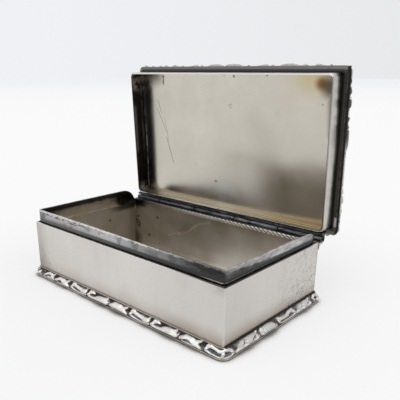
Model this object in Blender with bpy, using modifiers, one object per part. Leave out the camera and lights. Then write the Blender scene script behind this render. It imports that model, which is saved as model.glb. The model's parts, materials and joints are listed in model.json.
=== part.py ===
"""Silver trinket box with a hinged lid and cast scroll borders.

Metres, +Z up. The origin is the middle of the base plate's underside. +X runs along the box,
-Y is the front and the hinge is at the back, along +Y. The lid is modelled shut and then
turned open about the hinge by its pivot empty, as it stands at rest against its stop.
"""

import math

import bmesh
import bpy
from mathutils import Matrix, Vector

# Body: four sheet walls soldered on a base plate
BODY_LENGTH = 0.0900
BODY_DEPTH = 0.0500
WALL_TOP = 0.0210
WALL_SHEET = 0.0006
BASE_PLATE_THICKNESS = 0.0006
BASE_PLATE_OUTSET = 0.0019
BASE_CORNER_RADIUS = 0.0030
SEAM_GAP = 0.0003
SLIVER_SIZE = 0.000004

# Bezel: the bent strip inside the mouth that the lid closes over
BEZEL_RISE = 0.0041
BEZEL_SEAT = 0.0015
BEZEL_SHEET = 0.0007
BEZEL_CORNER_RADIUS = 0.0012
BEZEL_END_RADIUS = 0.0042

# Lid
LID_HEIGHT = 0.0092
LID_PLATE_SET_DOWN = 0.0024
LID_PLATE_THICKNESS = 0.0008
LID_CROWN = 0.0009
LID_OPEN_DEGREES = 87.3

# Hinge: tube knuckles on a pin, between two bearers that also stop the lid
HINGE_BEHIND = 0.0022
HINGE_RISE = 0.00035
KNUCKLE_RADIUS = 0.00085
PIN_RADIUS = 0.00045
PIN_CLEARANCE = 0.00008
PIN_END_INSET = 0.0006
BEARER_DROP = 0.0032
BEARER_TIP = 0.0004
BODY_STOP_DEGREES = 65.0
KNUCKLE_SEAM_SHARES = (0.0, 0.153, 0.373, 0.596, 0.811, 1.0)

# Borders: a cove strip with cast scrolls on it, alike on the base and on the lid
BORDER_HEIGHT = 0.0033
BORDER_OUTSET = 0.0014
BORDER_TIP_HEIGHT = 0.0022
BORDER_FOOT = 0.0003
LID_RIM_WIDTH = 0.0014
SCROLL_HEIGHT = 0.0022
SCROLL_LIFT = 0.0003
SCROLL_STAND_OUT_SHARE = 0.6
SCROLL_HEAD_SET_BACK = 0.0005
SCROLL_TURN_INSET = 0.0011
CORNER_LENGTH = 0.0050

# Strokes of the scrolls: along the scroll, up its height, out of it and radius, each as a
# share of the scroll's length or height
OVAL_STROKE_SHARES = (
    ((0.60, 0.12, 0.0, 0.09), (0.32, 0.08, 0.0, 0.13), (0.10, 0.26, 0.0, 0.15),
     (0.07, 0.56, 0.0, 0.17), (0.22, 0.84, 0.02, 0.17), (0.46, 0.86, 0.04, 0.17),
     (0.68, 0.62, 0.06, 0.20), (0.82, 0.30, 0.04, 0.15), (0.92, 0.06, 0.0, 0.06)),
    ((0.66, 0.55, 0.0, 0.14), (0.80, 0.78, 0.04, 0.12), (0.84, 1.02, 0.0, 0.05)),
)
LONG_STROKE_SHARES = (
    ((0.24, 0.92, 0.04, 0.16), (0.10, 0.78, 0.04, 0.17), (0.07, 0.46, 0.02, 0.15),
     (0.20, 0.18, 0.0, 0.11), (0.48, 0.08, 0.0, 0.09), (0.92, 0.10, 0.0, 0.07)),
    ((0.20, 0.84, 0.02, 0.15), (0.42, 0.62, 0.02, 0.14), (0.64, 0.44, 0.04, 0.18),
     (0.82, 0.50, 0.06, 0.24), (0.94, 0.78, 0.0, 0.06)),
)
LEAF_STROKE_SHARES = (
    ((0.07, 0.22, 0.0, 0.10), (0.24, 0.34, 0.02, 0.20), (0.48, 0.36, 0.04, 0.23),
     (0.72, 0.46, 0.06, 0.26), (0.88, 0.34, 0.04, 0.17), (0.95, 0.10, 0.0, 0.06)),
    ((0.20, 0.40, 0.0, 0.14), (0.14, 0.66, 0.02, 0.12), (0.10, 0.98, 0.0, 0.05)),
    ((0.68, 0.60, 0.0, 0.17), (0.76, 0.82, 0.02, 0.13), (0.80, 1.04, 0.0, 0.05)),
)
KNOB_STROKE_SHARES = (
    ((0.10, 0.20, 0.0, 0.12), (0.30, 0.50, 0.04, 0.20), (0.50, 0.62, 0.10, 0.26),
     (0.70, 0.50, 0.04, 0.20), (0.90, 0.20, 0.0, 0.12)),
)
CORNER_STROKE_SHARES = (
    ((0.06, 0.70, 0.02, 0.15), (0.05, 0.32, 0.0, 0.14), (0.22, 0.12, 0.0, 0.11),
     (0.50, 0.08, 0.0, 0.10), (0.78, 0.12, 0.0, 0.11), (0.94, 0.32, 0.0, 0.14)),
    ((0.10, 0.84, 0.02, 0.14), (0.30, 0.66, 0.06, 0.16), (0.50, 0.60, 0.08, 0.17),
     (0.72, 0.70, 0.06, 0.17), (0.92, 0.84, 0.0, 0.10)),
)
LONG_SIDE_SCROLLS = ("oval", "oval", "long", "leaf", "oval", "long", "leaf", "oval")
LONG_SIDE_SEAM_SHARES = (0.0, 0.085, 0.205, 0.327, 0.470, 0.590, 0.714, 0.859, 1.0)
SHORT_SIDE_SCROLLS = ("leaf", "oval", "long", "leaf")
SHORT_SIDE_SEAM_SHARES = (0.0, 0.285, 0.520, 0.765, 1.0)

# How finely round forms are cut
TUBE_RESOLUTION = 1
ROUND_STEPS = 16
ARC_STEPS = 6
PLATE_CELLS = (12, 8)

# Worked out from the sizes above
HALF_LENGTH = BODY_LENGTH / 2
HALF_DEPTH = BODY_DEPTH / 2
WALL_FOOT = BASE_PLATE_THICKNESS + SEAM_GAP
LID_MOUTH = WALL_TOP + SEAM_GAP
LID_TOP = LID_MOUTH + LID_HEIGHT
LID_PLATE_UNDER = LID_TOP - LID_PLATE_SET_DOWN - LID_PLATE_THICKNESS
HINGE_AXIS = Vector((0.0, HALF_DEPTH + HINGE_BEHIND, WALL_TOP + HINGE_RISE))
GROOVE_RADIUS = KNUCKLE_RADIUS + SEAM_GAP
LID_STOP_DEGREES = LID_OPEN_DEGREES - BODY_STOP_DEGREES + math.degrees(SEAM_GAP / GROOVE_RADIUS)

SILVER = (0.60, 0.58, 0.54)
BRIGHT_SILVER = (0.78, 0.77, 0.75)
TARNISHED = (0.16, 0.15, 0.14)
DARK_TARNISH = (0.10, 0.10, 0.10)


def clear_scene():
    for old in list(bpy.data.objects):
        bpy.data.objects.remove(old)


def make_collections():
    parts = bpy.data.collections.new("trinket_box")
    cutters = bpy.data.collections.new("trinket_box_cutters")
    for collection in (parts, cutters):
        bpy.context.scene.collection.children.link(collection)
    return parts, cutters


def metal(name, colour, roughness):
    material = bpy.data.materials.new(name)
    material.use_nodes = True
    shader = material.node_tree.nodes["Principled BSDF"]
    shader.inputs["Base Color"].default_value = (*colour, 1.0)
    shader.inputs["Metallic"].default_value = 1.0
    shader.inputs["Roughness"].default_value = roughness
    return material


def add_part(name, mesh, origin, colour, roughness, pivot=None):
    """A named part whose mesh is relative to origin, riding on the lid's pivot if given."""
    part = bpy.data.objects.new(name, mesh)
    PARTS.objects.link(part)
    mesh.materials.clear()
    mesh.materials.append(metal(name, colour, roughness))
    part.location = origin
    if pivot:
        part.parent = pivot
        part.location = Vector(origin) - HINGE_AXIS
    return part


def finish_mesh(name, shape):
    bmesh.ops.recalc_face_normals(shape, faces=shape.faces)
    mesh = bpy.data.meshes.new(name)
    shape.to_mesh(mesh)
    shape.free()
    return mesh


def flat_outline_mesh(name, outline, thickness):
    """A plate: a filled flat curve, thickened both ways about its own plane."""
    curve = bpy.data.curves.new(name, "CURVE")
    curve.dimensions = "2D"
    curve.fill_mode = "BOTH"
    curve.extrude = thickness / 2
    spline = curve.splines.new("POLY")
    spline.points.add(len(outline) - 1)
    for point, (x, y) in zip(spline.points, outline):
        point.co = (x, y, 0.0, 1.0)
    spline.use_cyclic_u = True
    return mesh_of_curve(name, curve)


def mesh_of_curve(name, curve):
    holder = bpy.data.objects.new(name, curve)
    bpy.context.scene.collection.objects.link(holder)
    graph = bpy.context.evaluated_depsgraph_get()
    shape = bmesh.new()
    source = bpy.data.meshes.new_from_object(holder.evaluated_get(graph))
    shape.from_mesh(source)
    bmesh.ops.remove_doubles(shape, verts=shape.verts, dist=SEAM_GAP / 100)
    bpy.data.objects.remove(holder)
    bpy.data.meshes.remove(source)
    return finish_mesh(name, shape)


def arc(centre, radius, start_degrees, end_degrees, steps=ARC_STEPS):
    points = []
    for step in range(steps + 1):
        angle = math.radians(start_degrees + (end_degrees - start_degrees) * step / steps)
        points.append((centre[0] + radius * math.cos(angle),
                       centre[1] + radius * math.sin(angle)))
    return points


def rounded_rectangle(half_x, half_y, radius):
    outline = []
    for turn, (side_x, side_y) in enumerate(((1, 1), (-1, 1), (-1, -1), (1, -1))):
        centre = (side_x * (half_x - radius), side_y * (half_y - radius))
        outline += arc(centre, radius, 90 * turn, 90 * turn + 90)
    return outline


def wall_outline(half_long, sheet):
    """Seen from above: outer side along y = 0, both ends mitred, inner side at y = sheet."""
    mitre = SEAM_GAP / 2 * math.sqrt(2)
    return [(-half_long + mitre, 0.0), (half_long - mitre, 0.0),
            (half_long - sheet - mitre, sheet), (-half_long + sheet + mitre, sheet)]


def add_wall(name, quarter_turns, foot, head, colour, roughness, pivot=None):
    """One of four walls. Quarter turn 0 is the front, 1 the right, 2 the back, 3 the left."""
    is_long = quarter_turns % 2 == 0
    half_long = HALF_LENGTH if is_long else HALF_DEPTH
    away = HALF_DEPTH if is_long else HALF_LENGTH
    mesh = flat_outline_mesh(name, wall_outline(half_long, WALL_SHEET), head - foot)
    turn = Matrix.Rotation(math.radians(90 * quarter_turns), 4, "Z")
    mesh.transform(turn)
    origin = turn @ Vector((0.0, -away, 0.0))
    origin.z = (foot + head) / 2
    return add_part(name, mesh, origin, colour, roughness, pivot)


def bezel_stations():
    """Plan points of the bezel's outer face with the height of its top there."""
    x = HALF_LENGTH - WALL_SHEET - SEAM_GAP
    front = -HALF_DEPTH + WALL_SHEET + SEAM_GAP
    back = HALF_DEPTH - WALL_SHEET - SEAM_GAP
    top = WALL_TOP + BEZEL_RISE
    end_centre = (back - BEZEL_END_RADIUS, top - BEZEL_END_RADIUS)
    right_end = [(x, y, z) for y, z in arc(end_centre, BEZEL_END_RADIUS, 90, 0)]
    corner_centre = (x - BEZEL_CORNER_RADIUS, front + BEZEL_CORNER_RADIUS)
    corner = [(a, b, top) for a, b in arc(corner_centre, BEZEL_CORNER_RADIUS, -90, 0)]
    right_half = corner + right_end
    left_half = [(-a, b, c) for a, b, c in reversed(right_half)]
    return left_half + right_half


def add_bezel():
    foot = WALL_TOP - BEZEL_SEAT
    origin = Vector((0.0, 0.0, foot))
    shape = bmesh.new()
    rows = []
    for x, y, top in bezel_stations():
        low = shape.verts.new((x, y, 0.0))
        high = shape.verts.new((x, y, top - foot))
        rows.append((low, high))
    for (low_a, high_a), (low_b, high_b) in zip(rows, rows[1:]):
        shape.faces.new((low_a, low_b, high_b, high_a))
    mesh = bpy.data.meshes.new("bezel")
    shape.to_mesh(mesh)
    shape.free()
    bezel = add_part("bezel", mesh, origin, SILVER, 0.3)
    sheet = bezel.modifiers.new("sheet", "SOLIDIFY")
    sheet.thickness = BEZEL_SHEET
    sheet.offset = -1.0
    sheet.use_even_offset = True


def add_lid_plate(pivot):
    """The lid's top sheet, flat at its edges and softly crowned in the middle."""
    columns, rows = PLATE_CELLS
    shape = bmesh.new()
    bmesh.ops.create_grid(shape, x_segments=columns, y_segments=rows, size=1.0)
    for vert in shape.verts:
        crown = (1 - vert.co.x ** 4) * (1 - vert.co.y ** 4)
        vert.co = (vert.co.x * HALF_LENGTH, vert.co.y * HALF_DEPTH, crown * LID_CROWN)
    mesh = bpy.data.meshes.new("lid_plate")
    shape.to_mesh(mesh)
    shape.free()
    origin = Vector((0.0, 0.0, LID_PLATE_UNDER))
    plate = add_part("lid_plate", mesh, origin, SILVER, 0.2, pivot)
    sheet = plate.modifiers.new("sheet", "SOLIDIFY")
    sheet.thickness = LID_PLATE_THICKNESS
    sheet.offset = 1.0


def bearer_outline(side):
    """Section of a hinge bearer in (back from the wall, up from the axis), side -1 below.

    A cove runs from the wall out to a thin tip that wraps round the tube, and a groove
    round the tube runs back to the mouth. Where the two tips meet, the lid stops.
    """
    wall = SEAM_GAP - HINGE_BEHIND
    mouth = -HINGE_RISE if side < 0 else LID_MOUTH - WALL_TOP - HINGE_RISE
    stop = BODY_STOP_DEGREES if side < 0 else LID_STOP_DEGREES
    seat = 180 - math.degrees(math.asin(max(-1.0, min(1.0, side * mouth / GROOVE_RADIUS))))
    groove = arc((0.0, 0.0), GROOVE_RADIUS, stop, seat, 2 * ARC_STEPS)
    tip_radius = GROOVE_RADIUS + BEARER_TIP
    tip = arc((0.0, 0.0), tip_radius, stop, 100.0, ARC_STEPS)
    foot = (wall, BEARER_DROP)
    last = tip[-1]
    cove = []
    for step in range(1, ARC_STEPS):
        share = step / ARC_STEPS
        across = last[0] + (foot[0] - last[0]) * math.sin(share * math.pi / 2)
        up = foot[1] + (last[1] - foot[1]) * math.cos(share * math.pi / 2)
        cove.append((across, up))
    outline = tip + cove + [foot, (wall, side * mouth)] + list(reversed(groove))
    return [(across, side * up) for across, up in outline]


def add_bearer(name, side, pivot=None):
    mesh = flat_outline_mesh(name, bearer_outline(side), BODY_LENGTH)
    stand = Matrix(((0, 0, 1, 0), (1, 0, 0, 0), (0, 1, 0, 0), (0, 0, 0, 1)))
    mesh.transform(stand)
    return add_part(name, mesh, HINGE_AXIS, TARNISHED, 0.35, pivot)


def add_knuckle(name, left, right, pivot=None):
    """A hinge tube: its section turned about the hinge axis."""
    half = (right - left - SEAM_GAP) / 2
    bore = PIN_RADIUS + PIN_CLEARANCE
    section = ((KNUCKLE_RADIUS, half), (KNUCKLE_RADIUS, -half), (bore, -half), (bore, half))
    shape = bmesh.new()
    corners = [shape.verts.new((across, 0.0, along)) for across, along in section]
    for start, end in zip(corners, corners[1:] + corners[:1]):
        shape.edges.new((start, end))
    mesh = bpy.data.meshes.new(name)
    shape.to_mesh(mesh)
    shape.free()
    origin = HINGE_AXIS + Vector(((left + right) / 2, 0.0, 0.0))
    knuckle = add_part(name, mesh, origin, TARNISHED, 0.35, pivot)
    knuckle.rotation_euler = (0.0, math.radians(90), 0.0)
    turned = knuckle.modifiers.new("turned", "SCREW")
    turned.angle = math.radians(360)
    turned.steps = ROUND_STEPS
    turned.render_steps = ROUND_STEPS
    turned.use_merge_vertices = True
    turned.merge_threshold = SEAM_GAP / 10
    turned.use_smooth_shade = True


def add_hinge(pivot):
    seams = [-HALF_LENGTH + share * BODY_LENGTH for share in KNUCKLE_SEAM_SHARES]
    for number, (left, right) in enumerate(zip(seams, seams[1:]), 1):
        on_lid = number % 2 == 0
        owner = "lid" if on_lid else "body"
        add_knuckle(f"{owner}_knuckle_{number}", left, right, pivot if on_lid else None)
    shape = bmesh.new()
    bmesh.ops.create_cone(shape, cap_ends=True, segments=ROUND_STEPS, radius1=PIN_RADIUS,
                          radius2=PIN_RADIUS, depth=BODY_LENGTH - 2 * PIN_END_INSET)
    mesh = finish_mesh("hinge_pin", shape)
    mesh.shade_smooth()
    mesh.set_sharp_from_angle(angle=math.radians(40))
    pin = add_part("hinge_pin", mesh, HINGE_AXIS, TARNISHED, 0.3)
    pin.rotation_euler = (0.0, math.radians(90), 0.0)
    add_bearer("body_bearer", -1)
    add_bearer("lid_bearer", 1, pivot)


def side_point(along, outset, quarter_turns, rise, on_lid):
    """A point on the border of one side, with its quarter circle round the next corner.

    Along 0 is the middle of the side and grows to the right, seen from outside. Past the
    start of the corner the point turns about a centre that lies inside the wall's corner.
    """
    is_long = quarter_turns % 2 == 0
    half_long = HALF_LENGTH if is_long else HALF_DEPTH
    away = HALF_DEPTH if is_long else HALF_LENGTH
    turn_start = half_long - SCROLL_TURN_INSET
    middle_radius = SCROLL_TURN_INSET + BORDER_OUTSET
    if along > turn_start:
        angle = min((along - turn_start) / middle_radius, math.pi / 2)
        beyond = along - turn_start - angle * middle_radius
        radius = SCROLL_TURN_INSET + outset
        x = turn_start + radius * math.sin(angle)
        y = -away + SCROLL_TURN_INSET - radius * math.cos(angle) + beyond
    else:
        x, y = along, -away - outset
    z = LID_TOP - rise if on_lid else rise
    return Matrix.Rotation(math.radians(90 * quarter_turns), 4, "Z") @ Vector((x, y, z))


def stroke_mesh(name, stroke, start, length, quarter_turns, on_lid, origin):
    """One stroke of a scroll as a round tapering tube along points given in shares."""
    curve = bpy.data.curves.new(name, "CURVE")
    curve.dimensions = "3D"
    curve.bevel_depth = SCROLL_HEIGHT
    curve.bevel_resolution = TUBE_RESOLUTION
    curve.use_fill_caps = True
    spline = curve.splines.new("POLY")
    spline.points.add(len(stroke) - 1)
    foot = BASE_PLATE_THICKNESS + SCROLL_LIFT
    for point, (along, up, out, radius) in zip(spline.points, stroke):
        stand_out = (out + radius * SCROLL_STAND_OUT_SHARE) * SCROLL_HEIGHT
        outset = BORDER_OUTSET + stand_out - SCROLL_HEAD_SET_BACK * up ** 2
        rise = foot + (radius + up * (1 - 2 * radius)) * SCROLL_HEIGHT
        place = side_point(start + along * length, outset, quarter_turns, rise, on_lid)
        point.co = (*(place - origin), 1.0)
        point.radius = radius
    return mesh_of_curve(name, curve)


def backing_section(on_lid):
    """Section of the strip under the scrolls, as (outset, rise from the outer face)."""
    foot = 0.0 if on_lid else WALL_FOOT
    cove_centre = (BORDER_OUTSET, BORDER_HEIGHT)
    cove = []
    for step in range(ARC_STEPS // 2 + 1):
        angle = math.radians(90 * step / (ARC_STEPS // 2))
        cove.append((cove_centre[0] - (BORDER_OUTSET - SEAM_GAP) * math.sin(angle),
                     cove_centre[1] - (BORDER_HEIGHT - BORDER_TIP_HEIGHT) * math.cos(angle)))
    outer = [(BORDER_OUTSET, foot)] + cove
    if not on_lid:
        return outer + [(SEAM_GAP, foot)]
    plate_face = LID_TOP - LID_PLATE_UNDER - LID_PLATE_THICKNESS - SEAM_GAP
    return outer + [(SEAM_GAP, plate_face), (-LID_RIM_WIDTH, plate_face), (0.0, foot)]


def backing_mesh(name, stations, on_lid, origin):
    """The backing swept through stations, each a function from outset and rise to a point."""
    section = backing_section(on_lid)
    shape = bmesh.new()
    rings = []
    for station in stations:
        ring = [shape.verts.new(station(outset, rise) - origin) for outset, rise in section]
        rings.append(ring)
    for near, far in zip(rings, rings[1:]):
        for index in range(len(section)):
            following = (index + 1) % len(section)
            shape.faces.new((near[index], near[following], far[following], far[index]))
    shape.faces.new(rings[0])
    shape.faces.new(list(reversed(rings[-1])))
    return finish_mesh(name, shape)


def join_meshes(name, meshes):
    shape = bmesh.new()
    for mesh in meshes:
        shape.from_mesh(mesh)
        bpy.data.meshes.remove(mesh)
    joined = bpy.data.meshes.new(name)
    shape.to_mesh(joined)
    shape.free()
    return joined


def union_strokes(part, layers):
    """Joins layer after layer of strokes to the part. Strokes in one layer stay apart."""
    for number, layer in enumerate(layers):
        name = f"{part.name}_strokes_{number}"
        cutter = bpy.data.objects.new(name, join_meshes(name, layer))
        CUTTERS.objects.link(cutter)
        cutter.hide_render = True
        cutter.display_type = "WIRE"
        cutter.parent = part
        union = part.modifiers.new(name, "BOOLEAN")
        union.operation = "UNION"
        union.solver = "EXACT"
        union.object = cutter
    slivers = part.modifiers.new("slivers", "WELD")
    slivers.merge_threshold = SLIVER_SIZE


def layers_of(kinds, seams, quarter_turns, on_lid, origin):
    """Strokes of a row of scrolls, in layers: first strokes, second strokes and so on."""
    layers = []
    for kind, start, end in zip(kinds, seams, seams[1:]):
        for number, stroke in enumerate(SCROLL_KINDS[kind]):
            if number == len(layers):
                layers.append([])
            layers[number].append(stroke_mesh("stroke", stroke, start, end - start,
                                              quarter_turns, on_lid, origin))
    return layers


def border_name(on_lid, place):
    owner = "lid" if on_lid else "base"
    return f"{owner}_border_{place}"


def add_border_strip(place, quarter_turns, on_lid, pivot):
    """The straight part of one side's border, which ends short of the corners."""
    is_long = quarter_turns % 2 == 0
    half = (HALF_LENGTH if is_long else HALF_DEPTH) - CORNER_LENGTH
    kinds = LONG_SIDE_SCROLLS if is_long else SHORT_SIDE_SCROLLS
    shares = LONG_SIDE_SEAM_SHARES if is_long else SHORT_SIDE_SEAM_SHARES
    origin = side_point(0.0, BORDER_OUTSET, quarter_turns, BORDER_FOOT, on_lid)
    stations = [straight_station(along, quarter_turns, on_lid) for along in (-half, half)]
    name = border_name(on_lid, place)
    mesh = backing_mesh(name, stations, on_lid, origin)
    part = add_part(name, mesh, origin, BRIGHT_SILVER, 0.22, pivot)
    seams = [-half + share * 2 * half for share in shares]
    union_strokes(part, layers_of(kinds, seams, quarter_turns, on_lid, origin))


def straight_station(along, quarter_turns, on_lid):
    return lambda outset, rise: side_point(along, outset, quarter_turns, rise, on_lid)


def corner_station(quarter_turns, on_lid):
    """The mitre at the corner to the right of a side: its two outsets are the same."""
    is_long = quarter_turns % 2 == 0
    half_long = HALF_LENGTH if is_long else HALF_DEPTH
    away = HALF_DEPTH if is_long else HALF_LENGTH
    turn = Matrix.Rotation(math.radians(90 * quarter_turns), 4, "Z")

    def place(outset, rise):
        height = LID_TOP - rise if on_lid else rise
        return turn @ Vector((half_long + outset, -away - outset, height))

    return place


def add_border_corner(place, quarter_turns, on_lid, pivot):
    """The corner to the right of a side, seen from outside, with its scroll bent round."""
    is_long = quarter_turns % 2 == 0
    half_here = HALF_LENGTH if is_long else HALF_DEPTH
    half_next = HALF_DEPTH if is_long else HALF_LENGTH
    reach = CORNER_LENGTH - SEAM_GAP
    stations = [straight_station(half_here - reach, quarter_turns, on_lid),
                corner_station(quarter_turns, on_lid),
                straight_station(reach - half_next, quarter_turns + 1, on_lid)]
    origin = corner_station(quarter_turns, on_lid)(0.0, BORDER_FOOT)
    name = border_name(on_lid, place)
    mesh = backing_mesh(name, stations, on_lid, origin)
    part = add_part(name, mesh, origin, BRIGHT_SILVER, 0.22, pivot)
    arc_length = (SCROLL_TURN_INSET + BORDER_OUTSET) * math.pi / 2
    start = half_here - reach
    length = 2 * (reach - SCROLL_TURN_INSET) + arc_length
    kind = "corner" if is_long else "knob"
    layers = layers_of([kind], [start, start + length], quarter_turns, on_lid, origin)
    union_strokes(part, layers)


SCROLL_KINDS = {"oval": OVAL_STROKE_SHARES, "long": LONG_STROKE_SHARES,
                "leaf": LEAF_STROKE_SHARES, "knob": KNOB_STROKE_SHARES,
                "corner": CORNER_STROKE_SHARES}
SIDES = ("front", "right", "back", "left")
CORNERS = ("front_right", "back_right", "back_left", "front_left")


def add_borders(on_lid, pivot):
    for quarter_turns, (side, corner) in enumerate(zip(SIDES, CORNERS)):
        add_border_strip(side, quarter_turns, on_lid, pivot)
        add_border_corner(corner, quarter_turns, on_lid, pivot)


def add_body():
    outline = rounded_rectangle(HALF_LENGTH + BASE_PLATE_OUTSET, HALF_DEPTH + BASE_PLATE_OUTSET,
                                BASE_CORNER_RADIUS)
    mesh = flat_outline_mesh("base_plate", outline, BASE_PLATE_THICKNESS)
    add_part("base_plate", mesh, (0.0, 0.0, BASE_PLATE_THICKNESS / 2), SILVER, 0.35)
    for quarter_turns, side in enumerate(SIDES):
        add_wall(f"body_wall_{side}", quarter_turns, WALL_FOOT, WALL_TOP, SILVER, 0.3)
    add_bezel()


def add_lid(pivot):
    head = LID_PLATE_UNDER - SEAM_GAP
    for quarter_turns, side in enumerate(SIDES):
        add_wall(f"lid_wall_{side}", quarter_turns, LID_MOUTH, head, SILVER, 0.3, pivot)
    add_lid_plate(pivot)


def add_pivot():
    pivot = bpy.data.objects.new("lid_pivot", None)
    PARTS.objects.link(pivot)
    pivot.location = HINGE_AXIS
    pivot.rotation_euler = (math.radians(-LID_OPEN_DEGREES), 0.0, 0.0)
    return pivot


clear_scene()
PARTS, CUTTERS = make_collections()
LID_PIVOT = add_pivot()
add_body()
add_lid(LID_PIVOT)
add_hinge(LID_PIVOT)
add_borders(False, None)
add_borders(True, LID_PIVOT)
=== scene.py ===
"""Looks of the old silver trinket box: worn sheet, tarnished inside, cast scroll borders.

Sizes are in millimetres until a point is made, and MM turns them into metres. The hinge's
axis and the studio are in metres. Everything on the lid is made with the lid shut and then
turned open about the hinge, as it stands at rest.
"""

import json
import math

import bmesh
import bpy
import numpy as np
from mathutils import Matrix, Vector, noise


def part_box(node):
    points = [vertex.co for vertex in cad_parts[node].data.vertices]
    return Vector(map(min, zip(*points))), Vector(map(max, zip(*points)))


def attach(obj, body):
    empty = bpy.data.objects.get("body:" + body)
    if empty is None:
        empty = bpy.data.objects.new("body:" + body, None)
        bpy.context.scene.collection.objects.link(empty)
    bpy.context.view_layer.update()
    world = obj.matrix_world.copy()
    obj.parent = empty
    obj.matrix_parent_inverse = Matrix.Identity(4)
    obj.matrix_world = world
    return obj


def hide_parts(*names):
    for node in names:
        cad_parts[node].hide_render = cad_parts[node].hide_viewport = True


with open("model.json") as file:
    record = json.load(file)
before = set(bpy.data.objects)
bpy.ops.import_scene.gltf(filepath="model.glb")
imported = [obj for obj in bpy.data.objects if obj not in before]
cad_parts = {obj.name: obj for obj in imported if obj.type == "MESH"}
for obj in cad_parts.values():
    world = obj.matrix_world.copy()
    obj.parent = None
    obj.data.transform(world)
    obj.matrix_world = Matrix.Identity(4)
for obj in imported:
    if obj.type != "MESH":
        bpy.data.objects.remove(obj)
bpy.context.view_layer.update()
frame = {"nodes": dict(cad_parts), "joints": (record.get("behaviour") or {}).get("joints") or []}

MM = 0.001
HINGE_JOINT = frame["joints"][0]


def far_side(node, axis):
    """Where a node of the frame ends along an axis, in millimetres."""
    return round(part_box(node)[1][axis] / MM, 3)


# The box: its walls' outer faces, its floor and its mouth are where the frame has them
HALF_LENGTH = far_side("body_wall_right", 0)
HALF_DEPTH = far_side("body_wall_back", 1)
FLOOR_TOP = far_side("base_plate", 2)
WALL_TOP = far_side("body_wall_front", 2)
SHEET = 0.6
WALL_CORNER = 0.5
WALL_INNER_CORNER = 0.3

# The lid when shut: its walls' mouth, its top sheet and how that is crowned, swollen and dished
LID_GAP = 0.3
LID_MOUTH = WALL_TOP + LID_GAP
LID_TOP = 30.5
LID_WALL_RISE = 6.25
LID_CORNER = 1.5
LID_INNER_CORNER = 2.0
LID_SHEET_UNDER = 27.3
LID_SHEET_THICKNESS = 0.8
LID_SHEET_CORNER = 1.45
LID_SHEET_GAP = 0.05
LID_CROWN = 0.9
LID_DISH = 1.08
LID_SWELL = 0.5
LID_FOLD = 0.12
HINGE_AXIS = Vector(HINGE_JOINT["pos_m"])
LID_OPEN = math.radians(HINGE_JOINT["range_deg"][1])
OPEN = (Matrix.Translation(HINGE_AXIS) @ Matrix.Rotation(-LID_OPEN, 4, "X")
        @ Matrix.Translation(-HINGE_AXIS))

SIDE_NAMES = ("front", "right", "back", "left")
CORNER_NAMES = ("front_right", "back_right", "back_left", "front_left")


# Materials

SPOT_CORE = 0.15


class Wire:
    """An output in a node tree. Sums written with it add Math nodes."""

    def __init__(self, nodes, socket):
        self.nodes = nodes
        self.socket = socket

    def __add__(self, other):
        return self.nodes.math("ADD", self, other)

    __radd__ = __add__

    def __sub__(self, other):
        return self.nodes.math("SUBTRACT", self, other)

    def __rsub__(self, other):
        return self.nodes.math("SUBTRACT", other, self)

    def __mul__(self, other):
        return self.nodes.math("MULTIPLY", self, other)

    __rmul__ = __mul__

    def __abs__(self):
        return self.nodes.math("ABSOLUTE", self)

    def rise(self, low, high, start=0.0, end=1.0):
        """Smooth step from start, where the value is low, to end, where it is high."""
        settings = {"interpolation_type": "SMOOTHSTEP", "clamp": True}
        values = {"Value": self, "From Min": low, "From Max": high, "To Min": start,
                  "To Max": end}
        return self.nodes.node("ShaderNodeMapRange", settings, values)

    def between(self, low, high, soft):
        """1 from low to high, with soft ends outside them."""
        return self.rise(low - soft, low) * self.rise(high + soft, high)

    def line(self, centre, half_width):
        """1 where the value is centre, falling to 0 at half_width on both sides."""
        return abs(self - centre).rise(0.0, half_width, 1.0, 0.0)


class Nodes:
    """A node tree that is wired by methods."""

    def __init__(self, tree):
        self.tree = tree

    def node(self, kind, settings, values, output=0):
        """Add a node with its settings, values and links. One of its outputs comes back."""
        made = self.tree.nodes.new(kind)
        for name, value in settings.items():
            if name == "stops":
                self.set_stops(made.color_ramp, value)
            else:
                setattr(made, name, value)
        for key, value in values.items():
            self.feed(made.inputs[key], value)
        return Wire(self, made.outputs[output])

    @staticmethod
    def set_stops(ramp, stops):
        while len(ramp.elements) < len(stops):
            ramp.elements.new(0.5)
        for element, (place, colour) in zip(ramp.elements, stops):
            element.position = place
            element.color = (*colour, 1.0)

    def feed(self, socket, value):
        """Give an input a link, a colour or a plain value."""
        if isinstance(value, Wire):
            self.tree.links.new(value.socket, socket)
        elif isinstance(value, tuple) and socket.type == "RGBA":
            socket.default_value = (*value, 1.0)
        else:
            socket.default_value = value

    def math(self, operation, *values):
        return self.node("ShaderNodeMath", {"operation": operation}, dict(enumerate(values)))

    def mix(self, factor, first, second):
        """Shader going from first, at 0, to second, at 1."""
        return self.node("ShaderNodeMixShader", {}, {0: factor, 1: first, 2: second})

    def split(self, vector):
        outputs = self.node("ShaderNodeSeparateXYZ", {}, {0: vector}).socket.node.outputs
        return [Wire(self, outputs[axis]) for axis in "XYZ"]


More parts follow.
